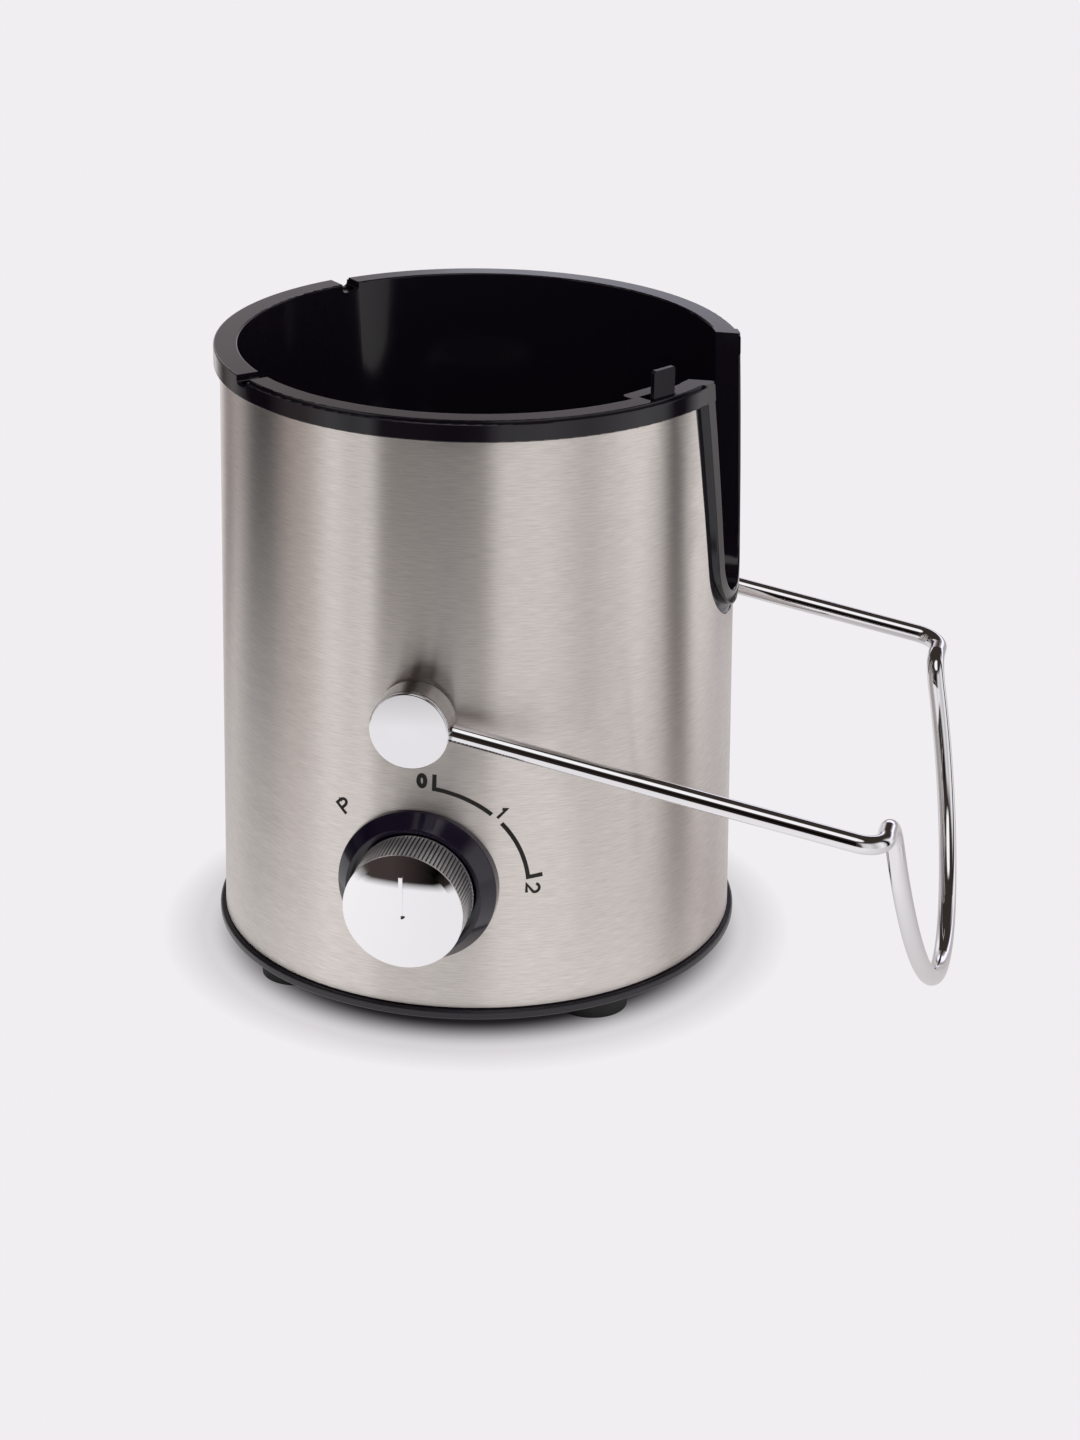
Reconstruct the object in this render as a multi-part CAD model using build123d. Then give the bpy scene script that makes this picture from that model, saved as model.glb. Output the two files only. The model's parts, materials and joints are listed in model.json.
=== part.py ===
from build123d import *
import math
import os

os.makedirs("parts", exist_ok=True)

# Motor base of a centrifugal juicer: a tapered steel shell round a black moulded chamber, on four feet.
# Millimetres, +Z up. The origin lies on the body's axis, at the plane the feet stand on.
# The knob and the front pivot face -Y; the tall slot and the lowered bail face +X.

# ------------------------------------------------------------------ housing sizes
foot_height = 7.9
foot_radius = 11.9
foot_inset = 15.4
foot_angles = (45, 135, 225, 315)
foot_names = ("foot_rear_right", "foot_rear_left", "foot_front_left", "foot_front_right")
foot_cup_depth = 2.2
foot_cup_margin = 2.6
foot_stem_radius = 3.5
foot_head_radius = 4.8
foot_head_height = 2.5

tray_thickness = 2.6
tray_ring_proud = 1.9
tray_ring_height = 3.1
tray_upstand = 7.0
tray_upstand_width = 2.0
shadow_gap = 0.5
shell_seat_inset = 0.4
ring_round = 0.8

shell_radius_low = 87.4
shell_taper = 2.85
shell_thickness = 0.8
shell_tuck = 3.4

rim_top = 211.5
rim_band = 6.9
rim_proud = 1.95
rim_width = 7.9
rim_plate = 2.5
rim_skirt = 1.7
rim_step_width = 1.1
rim_step_depth = 0.8
rim_round = 0.5
notch_angle = 43.0
notch_width = 6.6
notch_depth = 3.0
notch_round = 1.4

chamber_draft = 0.3
register_depth = 45.5
liner_wall = 2.4
chamber_corner = 3.0
deck_thickness = 3.0
apron_margin = 1.0
hub_radius = 15.0
hub_height = 10.0

slot_sill = 5.8
slot_round = 16.0
slot_side_angle = 9.5
slot_ridge = 5.0
slot_channel = 3.2
slot_flange = 4.0
ridge_proud = 2.0
ridge_round = 0.6
channel_drop = 0.3

column_inset = 3.1
column_angles = (20, 160, 200, 340)
column_radius = 4.5
column_seat = 3.5
base_screw_radius = 1.7
base_screw_grip = 20.0
base_screw_head_radius = 3.2
base_screw_head = 1.6

vent_count = 20
vent_width = 3.0
vent_inner = 13.0
vent_inner_short = 20.0
vent_outer = 34.0
shroud_gap = 3.0
shroud_wall = 1.8
shroud_height = 11.5

# ------------------------------------------------------------------ bail sizes
pivot_drop = 11.1
bail_droop = 10.77
wire_radius = 3.05
arm_set_back = 7.6
bail_arm = 151.7
bail_bend = 8.5
loop_shoulder = 23.1
loop_flank = 15.7
loop_narrowing = 8.9
loop_tilt = 20.5

pivot_boss_radius = 12.8
pivot_boss_length = 11.15
pivot_cap = 1.3
pivot_groove = 0.5
pivot_groove_depth = 0.7
pivot_stand_off = 0.55
spindle_radius = 5.0
shell_hole_play = 0.5
spindle_length = 16.0
wire_socket_bottom = 5.0
bush_wall = 2.0
bush_flange_radius = 8.6
bush_flange = 1.0
bush_boss_wall = 3.0
washer_radius = 8.0
washer_thickness = 1.0
pivot_screw_radius = 2.0
pivot_screw_grip = 10.0
pivot_screw_head_radius = 3.8
pivot_screw_head = 2.4

# ------------------------------------------------------------------ speed control sizes
knob_rise = 43.0
knob_radius = 19.6
knob_depth = 17.8
knob_sunk = 1.6
knob_face_crown = 1.8
knob_face_bevel = 0.6
knob_face_edge = 2.6
knob_wall = 2.2
knob_hub_radius = 5.6
knurl_count = 90
knurl_depth = 0.45
pointer_length = 13.4
pointer_width = 1.3
pointer_proud = 0.5
bezel_radius = 26.2
bezel_front_radius = 22.3
bezel_proud = 5.85
bezel_recess_gap = 1.5
bezel_floor = 2.0
bezel_lip = 0.5
switch_bushing_radius = 4.75
switch_shaft_radius = 3.0
switch_width = 34.0
switch_depth = 20.0
switch_set_back = 7.75
switch_shaft_seat = 12.0
switch_nut_radius = 7.2
switch_nut = 2.0
bracket_thickness = 1.5
bracket_width = 40.0
bracket_foot = 14.0
bracket_head = 22.0
bracket_spacer_radius = 9.0
tag_length = 9.0
tag_width = 4.8
tag_thickness = 0.8

# ------------------------------------------------------------------ interlock sizes
tab_angle = -34.1
tab_width = 9.2
tab_thickness = 1.5
tab_inset = 2.4
tab_step = 0.9
tab_height = 9.2
tab_round = 0.8
rod_travel = 3.5
rod_inset = 2.7
rod_thickness = 2.2
rod_width = 8.0
rod_bridge = 2.0
rod_block_depth = 2.9
rod_foot = 2.0
rod_foot_length = 21.0
rod_foot_reach = 8.0
pocket_wall = 1.85
pocket_side_wall = 2.85
pocket_round = 1.6
rod_clearance = 0.9
slit_overhang = 0.2
shelf_drop = 22.0
shelf_thickness = 3.0
shelf_reach = 11.6
shelf_width = 27.0
spring_length = 14.0
spring_wire = 0.4
spring_radius = 2.7
spring_turns = 6
spring_side = -6.0
spring_pin = 3.0
micro_side = 5.6
micro_length = 14.0
micro_depth = 6.4
micro_height = 10.0
micro_button_radius = 1.2
micro_pin_length = 4.0
micro_pin = 0.8

# ------------------------------------------------------------------ motor and drive sizes
shaft_radius = 4.0
shaft_end = 1.0
stack_length = 36.0
stator_radius = 39.0
stator_bore = 21.0
stator_flat_inset = 6.5
stator_slot_half_angle = 34
pole_thickness = 1.5
stator_yoke = 7.0
air_gap = 0.5
armature_slots = 12
armature_slot_width = 3.0
armature_slot_depth = 6.0
armature_bar_width = 2.6
coil_overhang = 8.0
coil_half_angle = 62
coil_gap_angle = 0.4
commutator_radius = 13.0
commutator_rise = 9.0
commutator_length = 14.0
commutator_to_stack = 14.0
commutator_bars = 24
commutator_groove = 0.5
commutator_sleeve = 7.0
winding_inner = 9.0
winding_outer = 18.5
winding_overhang = 7.0
bearing_radius = 11.0
bearing_width = 7.0
bearing_drop = 2.0
bearing_stop = 1.0
bearing_stop_radius = 8.0
bearing_race = 2.2
bearing_groove = 0.5
bracket_wall = 5.0
upper_cup_rise = 15.0
lower_cup_rise = 12.5
cup_plate = 3.0
housing_wall = 2.5
lug_reach = 11.0
lug_radius = 7.0
lug_width = 12.0
lug_boss = 6.0
lug_angles = (45, 135, 225, 315)
grommet_radius = 6.0
grommet_height = 3.0
mount_screw_radius = 2.0
mount_screw_head_radius = 4.0
mount_screw_head = 2.4
mount_screw_grip = 7.0
through_bolt_inset = 2.5
through_bolt_radius = 1.5
through_bolt_head_radius = 2.4
through_bolt_head = 2.0
through_bolt_angles = (70, 110, 250, 290)
through_bolt_end = 1.0
brush_width = 6.5
brush_tall = 9.0
brush_gap = 0.35
brush_length = 14.0
holder_set_back = 2.0
holder_wall = 1.2
holder_proud = 2.5
brush_spring_radius = 2.4
brush_cap = 1.5
fan_radius = 36.0
fan_clearance = 4.0
fan_plate = 1.6
fan_blade_height = 7.5
fan_blade_thickness = 1.4
fan_blades = 9
fan_hub_radius = 8.5
seal_radius = 11.0
seal_height = 6.0
seal_lip = 0.3
seal_lip_height = 1.5
seal_neck = 3.0
coupling_skirt_radius = 18.5
coupling_skirt_wall = 1.8
coupling_skirt_drop = 4.0
coupling_skirt_gap = 1.0
coupling_plate = 3.0
coupling_hub_radius = 16.0
coupling_hub = 19.0
coupling_lugs = 6
coupling_lug_width = 3.2
coupling_lug_reach = 2.0
coupling_round = 0.8
coupling_shaft_seat = 11.0
drive_cup_radius = 13.5
drive_cup_depth = 8.0

# ------------------------------------------------------------------ wiring parts sizes
gland_rise = 16.5
gland_radius = 6.8
gland_flange_radius = 9.2
gland_flange = 2.4
gland_inner_flange_radius = 8.2
gland_reach = 10.0
cord_bore = 3.8
terminal_angle = 90
terminal_circle = 56.5
terminal_length = 30.0
terminal_width = 12.0
terminal_tall = 15.0
terminal_ways = 3
terminal_screw_radius = 2.1
capacitor_angle = 180
capacitor_circle = 55.0
capacitor_length = 24.0
capacitor_width = 10.0
capacitor_tall = 17.0
clip_wall = 1.2
clip_tall = 9.0

# ------------------------------------------------------------------ clearances
slide_fit = 0.2
running_fit = 0.05
seat_fit = 0.02
apart = 0.35
cut_over = 1.0
edge_find = 0.1
slot_cut_in = 14.0
slot_cut_out = 4.0

# ------------------------------------------------------------------ derived heights
tray_top = foot_height + tray_thickness
ring_top = foot_height + tray_ring_height
shell_bottom = ring_top + shadow_gap
knob_height = shell_bottom + knob_rise
gland_height = shell_bottom + gland_rise
fan_low = tray_top + fan_clearance
shaft_low = fan_low - shaft_end
lower_cup_low = fan_low + lower_cup_rise
commutator_low = lower_cup_low + commutator_rise
commutator_high = commutator_low + commutator_length
brush_height = (commutator_low + commutator_high) / 2
stack_low = commutator_high + commutator_to_stack
stack_high = stack_low + stack_length
upper_cup_top = stack_high + upper_cup_rise
boss_low = upper_cup_top + grommet_height
deck_under = boss_low + lug_boss
deck_top = deck_under + deck_thickness
pivot_height = deck_under - pivot_drop
shelf_height = deck_under - shelf_drop
rod_foot_height = shelf_height + spring_length
apron_low = shelf_height - shelf_thickness - apron_margin
slot_floor = deck_top + slot_sill
hub_top = deck_top + hub_height
column_low = tray_top + column_seat
seal_floor = hub_top - seal_height
coupling_low = hub_top + coupling_skirt_gap
coupling_hub_top = coupling_low + coupling_plate + coupling_hub
shaft_top = coupling_low + coupling_shaft_seat
rim_low = rim_top - rim_band
rim_under = rim_top - rim_plate
register_low = rim_top - register_depth
shell_top = rim_low + shell_tuck
bridge_top = rim_under - apart
bridge_low = bridge_top - rod_bridge

# ------------------------------------------------------------------ derived radii
shell_radius_high = shell_radius_low - shell_taper
tray_ring_radius = shell_radius_low + tray_ring_proud
foot_circle = shell_radius_low - foot_inset
rim_radius = shell_radius_high + rim_proud
chamber_radius = rim_radius - rim_width
chamber_radius_low = chamber_radius - chamber_draft
wall_outer = chamber_radius + liner_wall
column_circle = chamber_radius - column_inset
tab_outer = rim_radius - tab_inset
rod_bridge_outer = tab_outer - tab_step
rod_block_inner = tab_outer - rod_block_depth
rod_inner = chamber_radius - rod_inset
rod_outer = rod_inner + rod_thickness
rod_foot_inner = chamber_radius - rod_foot_reach
pocket_inner = rod_inner - apart - pocket_wall
pocket_width = tab_width + 2 * (rod_clearance + pocket_side_wall)
slit_inner = chamber_radius - slit_overhang
shelf_inner = chamber_radius - shelf_reach
micro_corner = micro_side + micro_length / 2
shelf_circle = math.sqrt((chamber_radius_low - slide_fit) ** 2 - micro_corner ** 2) - micro_depth / 2
bush_radius = spindle_radius + running_fit + bush_wall
stator_flat = stator_radius - stator_flat_inset
stator_slot_inner = stator_bore + pole_thickness
stator_slot_outer = stator_radius - stator_yoke
through_bolt_circle = stator_radius - through_bolt_inset
lug_circle = stator_radius + lug_reach
holder_outer = stator_radius + holder_proud


def shell_radius(height):
    """Outer radius of the tapered shell at a height."""
    rise = (height - shell_bottom) / (rim_low - shell_bottom)
    return shell_radius_low + rise * (shell_radius_high - shell_radius_low)


# ------------------------------------------------------------------ places out from the shell
bezel_front = shell_radius(knob_height) + bezel_proud
knob_back = bezel_front - knob_sunk
knob_face = knob_back + knob_depth
switch_face = shell_radius(knob_height) - switch_set_back
pivot_base = shell_radius(pivot_height) + pivot_stand_off
pivot_face = pivot_base + pivot_boss_length
bail_half_width = pivot_face - arm_set_back
loop_half_width = bail_half_width - loop_shoulder
loop_end_radius = loop_half_width - loop_narrowing
spindle_end = pivot_base - spindle_length
bush_inner_end = spindle_end + apart + bush_flange
cap_back = pivot_face - pivot_cap
barrel_front = cap_back - pivot_groove


# ------------------------------------------------------------------ shape helpers
socket_share = 0.8


def turned(*points, rounds=()):
    """Solid of revolution about Z from a closed outline of (radius, height) points.

    rounds lists (point, fillet radius) for the corners of the outline that are rounded.
    """
    outline = make_face(Polyline(*[(radius, 0, height) for radius, height in points], close=True))
    for corner, size in rounds:
        nearest = outline.vertices().sort_by_distance((corner[0], 0, corner[1]))[0]
        outline = fillet(nearest, size)
    return revolve(outline, Axis.Z)


def tube(outer, inner, low, high):
    return turned((inner, low), (outer, low), (outer, high), (inner, high))


def rod(radius, low, high):
    return Pos(0, 0, low) * Cylinder(radius, high - low, align=(Align.CENTER, Align.CENTER, Align.MIN))


def block(x_low, x_high, y_low, y_high, z_low, z_high):
    sizes = (x_high - x_low, y_high - y_low, z_high - z_low)
    return Pos(x_low, y_low, z_low) * Box(*sizes, align=(Align.MIN, Align.MIN, Align.MIN))


def around(angle, solid, circle=0.0):
    """Carry a solid out to a circle about Z, then turn it to an angle."""
    return Rot(0, 0, angle) * Pos(circle, 0, 0) * solid


def facing_front(height):
    """Local Z runs along -Y, from the body's axis out through the front at a height."""
    return Plane(origin=(0, 0, height), x_dir=(1, 0, 0), z_dir=(0, -1, 0))


def facing_rear(height):
    return Plane(origin=(0, 0, height), x_dir=(-1, 0, 0), z_dir=(0, 1, 0))


def together(solids):
    """Several separate solids as one node."""
    return Compound(children=[piece for solid in solids for piece in solid.solids()])


def repeated(solid, count):
    """Copies of a solid, evenly spaced round Z."""
    return together(Rot(0, 0, index * 360 / count) * solid for index in range(count))


def cone_inside(offset, low, high):
    """Everything inside the shell's tapered outer surface, moved out by an offset."""
    low_radius = shell_radius(low) + offset
    high_radius = shell_radius(high) + offset
    return turned((0, low), (low_radius, low), (high_radius, high), (0, high))


def wedge(radius, half_angle, low, high):
    """Wedge about +X that holds everything up to a radius within an angle either side."""
    reach = 2 * radius / math.cos(math.radians(half_angle) / 2)
    spread = [math.radians(turn) for turn in (-half_angle, 0, half_angle)]
    corners = [(0, 0)] + [(reach * math.cos(turn), reach * math.sin(turn)) for turn in spread]
    return Pos(0, 0, low) * extrude(make_face(Polyline(*corners, close=True)), high - low)


def screw(radius, low, high, head_radius, head):
    """Pan-head screw pointing up, its head below the lower end, with a hexagon socket."""
    socket = radius * socket_share
    shank = rod(radius, low, high)
    cap = turned((0, low - head), (head_radius, low - head), (head_radius, low), (0, low),
                 rounds=[((head_radius, low - head), head / 3)])
    drive = Pos(0, 0, low - head - cut_over) * extrude(RegularPolygon(socket, 6), cut_over + head / 2)
    return shank + cap - drive


# ------------------------------------------------------------------ slot in the +X side
slot_inner_end = chamber_radius - slot_cut_in
slot_outer_end = rim_radius + ridge_proud + slot_cut_out


def slot_prism(offset):
    """The slot's outline grown by an offset: a round floor and two sides that open upwards."""
    lean = math.radians(slot_side_angle)
    radius = slot_round + offset
    centre = slot_floor + slot_round
    touch_y = radius * math.cos(lean)
    touch_z = centre - radius * math.sin(lean)
    open_z = rim_top + tab_height
    open_y = touch_y + (open_z - touch_z) * math.tan(lean)
    left = Line((-touch_y, touch_z), (-open_y, open_z))
    top = Line((-open_y, open_z), (open_y, open_z))
    right = Line((open_y, open_z), (touch_y, touch_z))
    floor = ThreePointArc((touch_y, touch_z), (0, centre - radius), (-touch_y, touch_z))
    outline = make_face([left, top, right, floor])
    return extrude(Plane.YZ.offset(slot_inner_end) * outline, slot_outer_end - slot_inner_end)


def on_outside(ridge):
    """Edges of a ridge that lie on its outermost, tapered surface and run along the slot."""
    def outside(edge):
        middle = edge.position_at(0.5)
        radius = math.hypot(middle.X, middle.Y)
        off_ridge = abs(radius - shell_radius(middle.Z) - ridge_proud)
        return off_ridge < edge_find and middle.Z < rim_top - edge_find
    return ridge.edges().filter_by(outside)


def slot_frame():
    """Raised ridge round the slot, a shallow channel beside it and a flange behind the shell."""
    low = slot_floor - slot_ridge - slot_channel - slot_flange - cut_over
    ridge = slot_prism(slot_ridge) & cone_inside(ridge_proud, low, rim_top)
    ridge -= slot_prism(0)
    ridge = fillet(on_outside(ridge), ridge_round)
    channel = slot_prism(slot_ridge + slot_channel - slide_fit) & cone_inside(-channel_drop, low, rim_under)
    behind = -(shell_thickness + slide_fit)
    flange = slot_prism(slot_ridge + slot_channel + slot_flange) & cone_inside(behind, low, rim_under)
    return ridge + channel + flange


# ------------------------------------------------------------------ moulded chamber
def rim_step_fill():
    """The rim keeps its full width between the two notches, so its outer step is filled there."""
    step = turned((rim_radius - rim_step_width - cut_over, rim_under), (rim_radius, rim_under),
                  (rim_radius, rim_top), (rim_radius - rim_step_width - cut_over, rim_top),
                  rounds=[((rim_radius, rim_top), rim_round)])
    return step & (Rot(0, 0, 180) * wedge(rim_radius, notch_angle, rim_low, rim_top + cut_over))


def notch_cut(angle):
    half = notch_width / 2
    low = rim_top - notch_depth
    cut = block(chamber_radius - cut_over, rim_radius + cut_over, -half, half, low, rim_top + cut_over)
    cut = fillet(cut.edges().filter_by(Axis.X).group_by(Axis.Z)[0], notch_round)
    return around(angle, cut)


def interlock_pocket():
    """Hollow column inside the chamber's wall that the interlock rod runs down."""
    half = pocket_width / 2
    column = block(pocket_inner, wall_outer, -half, half, deck_under, rim_top)
    inner_edges = column.edges().filter_by(Axis.Z).sort_by(Axis.X)[:2]
    return around(tab_angle, fillet(inner_edges, pocket_round))


def interlock_passage():
    """Rod shaft down the pocket, the slit in the rim and the window behind the shell's top edge."""
    half_rod = rod_width / 2 + rod_clearance
    half_tab = tab_width / 2 + rod_clearance
    inner = rod_inner - apart
    shaft = block(inner, rod_outer + apart, -half_rod, half_rod, deck_under - cut_over, rim_under)
    window_low = bridge_low - rod_travel - rod_clearance
    window = block(inner, wall_outer + cut_over, -half_tab, half_tab, window_low, rim_under)
    slit = block(slit_inner, tab_outer + apart, -half_tab, half_tab, bridge_low, rim_top + cut_over)
    return around(tab_angle, shaft + window + slit)


def interlock_shelf():
    """Shelf on the apron, with a pin for the return spring."""
    half = shelf_width / 2
    low = shelf_height - shelf_thickness
    outer = chamber_radius_low + cut_over
    shelf = block(shelf_inner, outer, -half, half, low, shelf_height)
    pin_radius = spring_radius - spring_wire - apart
    pin = Pos(shelf_circle, spring_side, 0) * rod(pin_radius, low, shelf_height + spring_pin)
    return around(tab_angle, shelf + pin)


def pivot_housing(place):
    """Boss on the apron that carries one bush of the bail."""
    boss = place * rod(bush_radius + bush_boss_wall, bush_inner_end, pivot_base)
    return boss & cone_inside(-shell_thickness - slide_fit, apron_low - cut_over, deck_top)


def chamber_space():
    """The room inside the chamber's wall: slightly drafted below, a true cylinder for the bowl above."""
    high = rim_top + cut_over
    return turned((0, deck_under), (chamber_radius_low, deck_under), (chamber_radius_low, deck_top),
                  (chamber_radius, register_low), (chamber_radius, high), (0, high))


def chamber_liner():
    """Black moulding: rim, juice chamber, deck, slot frame, and the bosses below the deck."""
    neck = seal_radius - seal_neck
    skirt_inner = rim_radius - rim_skirt
    step_in = rim_radius - rim_step_width
    step_z = rim_top - rim_step_depth
    body = turned(
        (neck, deck_under), (chamber_radius_low, deck_under), (chamber_radius_low, apron_low),
        (wall_outer, apron_low), (wall_outer, rim_under), (skirt_inner, rim_under),
        (skirt_inner, rim_low), (rim_radius, rim_low), (rim_radius, step_z), (step_in, step_z),
        (step_in, rim_top), (chamber_radius, rim_top), (chamber_radius, register_low),
        (chamber_radius_low, deck_top), (hub_radius, deck_top), (hub_radius, hub_top),
        (seal_radius, hub_top), (seal_radius, seal_floor), (neck, seal_floor),
        rounds=[((rim_radius, rim_low), rim_round), ((rim_radius, step_z), rim_round),
                ((step_in, rim_top), rim_step_depth / 3), ((chamber_radius, rim_top), rim_round),
                ((chamber_radius_low, deck_top), chamber_corner), ((hub_radius, hub_top), rim_round)])
    body += rim_step_fill()
    body += slot_frame() - chamber_space()
    body += interlock_pocket()
    body += interlock_shelf()
    for place in (facing_front(pivot_height), facing_rear(pivot_height)):
        body += pivot_housing(place)
        body -= place * rod(bush_radius + seat_fit, bush_inner_end - cut_over, pivot_base)
    for angle in lug_angles:
        body += around(angle, rod(lug_radius, boss_low, deck_under + cut_over), lug_circle)
        body -= around(angle, rod(mount_screw_radius + seat_fit, boss_low - cut_over,
                                  boss_low + mount_screw_grip), lug_circle)
    for angle in column_angles:
        body += around(angle, rod(column_radius, column_low, deck_under + cut_over), column_circle)
        body -= around(angle, rod(base_screw_radius + seat_fit, column_low - cut_over,
                                  column_low + base_screw_grip), column_circle)
    body -= slot_prism(0)
    body -= interlock_passage()
    for angle in (180 - notch_angle, 180 + notch_angle):
        body -= notch_cut(angle)
    return body


# ------------------------------------------------------------------ steel shell
def outer_shell():
    """Drawn steel band, tapered, with its cut-outs for the slot, the pivots, the switch and the gland."""
    top_radius = shell_radius(shell_top)
    shell = turned((shell_radius_low - shell_thickness, shell_bottom), (shell_radius_low, shell_bottom),
                   (top_radius, shell_top), (top_radius - shell_thickness, shell_top))
    shell -= slot_prism(slot_ridge + slot_channel)
    drill_start = shell_radius_high - liner_wall
    for place in (facing_front(pivot_height), facing_rear(pivot_height)):
        shell -= place * rod(spindle_radius + shell_hole_play, drill_start, pivot_base)
    shell -= facing_front(knob_height) * rod(switch_bushing_radius + slide_fit, drill_start, bezel_front)
    shell -= facing_rear(gland_height) * rod(gland_radius + slide_fit, drill_start, bezel_front)
    half = tab_width / 2 + rod_clearance
    notch_low = rim_low + slide_fit
    shell -= around(tab_angle, block(drill_start, rim_radius, -half, half, notch_low, shell_top + cut_over))
    return shell


# ------------------------------------------------------------------ base tray and feet
def base_tray():
    """Moulded floor of the base: the visible ring, an upstand inside the shell, the fan's shroud."""
    seat_out = shell_radius_low - shell_seat_inset
    upstand_out = shell_radius_low - shell_thickness - slide_fit
    upstand_in = upstand_out - tray_upstand_width
    tray = turned(
        (0, foot_height), (tray_ring_radius, foot_height), (tray_ring_radius, ring_top),
        (seat_out, ring_top), (seat_out, shell_bottom), (upstand_out, shell_bottom),
        (upstand_out, shell_bottom + tray_upstand), (upstand_in, shell_bottom + tray_upstand),
        (upstand_in, tray_top), (0, tray_top),
        rounds=[((tray_ring_radius, foot_height), ring_round), ((tray_ring_radius, ring_top), ring_round)])
    below = foot_height - cut_over
    shroud_in = fan_radius + shroud_gap
    tray += tube(shroud_in + shroud_wall, shroud_in, tray_top - cut_over, tray_top + shroud_height)
    for angle in column_angles:
        tray += around(angle, rod(column_radius, tray_top - cut_over, column_low), column_circle)
        hole = rod(base_screw_radius + slide_fit, below, column_low + cut_over)
        hole += rod(base_screw_head_radius + slide_fit, below, foot_height + base_screw_head)
        tray -= around(angle, hole, column_circle)
    for angle in foot_angles:
        tray -= around(angle, rod(foot_stem_radius + seat_fit, below, tray_top + cut_over), foot_circle)
    half = vent_width / 2
    for index in range(vent_count):
        inner = vent_inner_short if index % 2 else vent_inner
        slot = block(inner, vent_outer, -half, half, below, tray_top + cut_over)
        tray -= around(index * 360 / vent_count, slot)
    return tray


def foot(angle):
    """Rubber foot with a cupped sole and a stem that snaps through the tray."""
    cup = foot_radius - foot_cup_margin
    head_top = tray_top + foot_head_height
    solid = turned(
        (0, foot_cup_depth), (cup - foot_cup_depth, foot_cup_depth), (cup, 0), (foot_radius, 0),
        (foot_radius, foot_height), (foot_stem_radius, foot_height), (foot_stem_radius, tray_top),
        (foot_head_radius, tray_top), (foot_stem_radius, head_top), (0, head_top))
    return around(angle, solid, foot_circle)


def base_screws():
    """Four screws through the tray into the chamber's columns."""
    low = foot_height + base_screw_head
    high = column_low + base_screw_grip - cut_over
    one = screw(base_screw_radius, low, high, base_screw_head_radius, base_screw_head)
    return together(around(angle, one, column_circle) for angle in column_angles)


# ------------------------------------------------------------------ motor, fixed pieces
upper_bearing_low = upper_cup_top - bearing_width
lower_bearing_low = lower_cup_low - bearing_drop


def stator():
    """Laminated core with two poles on the Y axis and a coil slot on each side."""
    core = tube(stator_radius, stator_bore, stack_low, stack_high)
    core &= block(-stator_radius, stator_radius, -stator_flat, stator_flat, stack_low, stack_high)
    slot = tube(stator_slot_outer, stator_bore - cut_over, stack_low, stack_high)
    slot &= wedge(stator_slot_outer, stator_slot_half_angle, stack_low, stack_high)
    return core - slot - Rot(0, 0, 180) * slot


def field_windings():
    """One coil round each pole, standing out of both ends of the core."""
    low = stack_low - coil_overhang
    high = stack_high + coil_overhang
    coil = tube(stator_slot_outer - slide_fit, stator_slot_inner, low, high)
    coil &= wedge(stator_slot_outer, coil_half_angle, low, high)
    pole_half_angle = 90 - stator_slot_half_angle + coil_gap_angle
    coil -= wedge(stator_slot_outer, pole_half_angle, stack_low, stack_high)
    return together([Rot(0, 0, 90) * coil, Rot(0, 0, -90) * coil])


def through_holes(low, high):
    holes = [around(angle, rod(through_bolt_radius + seat_fit, low, high), through_bolt_circle)
             for angle in through_bolt_angles]
    return together(holes)


def bearing_seat(low, high, stop_low, stop_high):
    """Sleeve that holds a bearing, with an inward stop at one end."""
    sleeve = tube(bearing_radius + housing_wall, bearing_radius + seat_fit, low, high)
    return sleeve + tube(bearing_radius + housing_wall, bearing_stop_radius, stop_low, stop_high)


def upper_bracket():
    """Cast end bracket on top of the motor, with four lugs that hang it from the deck."""
    plate_low = upper_cup_top - cup_plate
    cup = tube(stator_radius, stator_radius - bracket_wall, stack_high, upper_cup_top)
    cup += tube(stator_radius, bearing_radius + housing_wall / 2, plate_low, upper_cup_top)
    cup += bearing_seat(upper_bearing_low, upper_cup_top, upper_cup_top, upper_cup_top + bearing_stop)
    inner = stator_radius - bracket_wall
    for angle in lug_angles:
        arm = block(inner, lug_circle, -lug_width / 2, lug_width / 2, plate_low, upper_cup_top)
        cup += around(angle, arm)
        cup += around(angle, rod(lug_radius, plate_low, upper_cup_top), lug_circle)
        hole = rod(mount_screw_radius + slide_fit, plate_low - cut_over, upper_cup_top + cut_over)
        cup -= around(angle, hole, lug_circle)
    return cup - through_holes(stack_high - cut_over, upper_cup_top - cut_over)


def lower_bracket():
    """Cast end bracket below the motor, with a window on each side for a brush holder."""
    plate_high = lower_cup_low + cup_plate
    inner = stator_radius - bracket_wall
    cup = tube(stator_radius, inner, lower_cup_low, stack_low)
    cup += tube(stator_radius, bearing_radius + housing_wall / 2, lower_cup_low, plate_high)
    seat_top = lower_bearing_low + bearing_width
    cup += bearing_seat(lower_bearing_low, seat_top, lower_bearing_low - bearing_stop, lower_bearing_low)
    half_width = brush_width / 2 + holder_wall + seat_fit
    half_tall = brush_tall / 2 + holder_wall + seat_fit
    windows = block(-holder_outer, holder_outer, -half_width, half_width,
                    brush_height - half_tall, brush_height + half_tall)
    cup -= windows - rod(inner, 0, stack_low)
    return cup - through_holes(lower_cup_low - cut_over, stack_low + cut_over)


def bearing(low):
    """Shielded ball bearing; a groove on each face parts the races from the shields."""
    high = low + bearing_width
    bore = shaft_radius + running_fit
    corners = [(bearing_radius, low), (bearing_radius, high)]
    rounds = [(corner, bearing_groove) for corner in corners]
    ring = turned((bore, low), *corners, (bore, high), rounds=rounds)
    for race in (bore + bearing_race, bearing_radius - bearing_race):
        outer = race + bearing_groove / 2
        inner = race - bearing_groove / 2
        ring -= tube(outer, inner, low - cut_over, low + bearing_groove)
        ring -= tube(outer, inner, high - bearing_groove, high + cut_over)
    return ring


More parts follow.
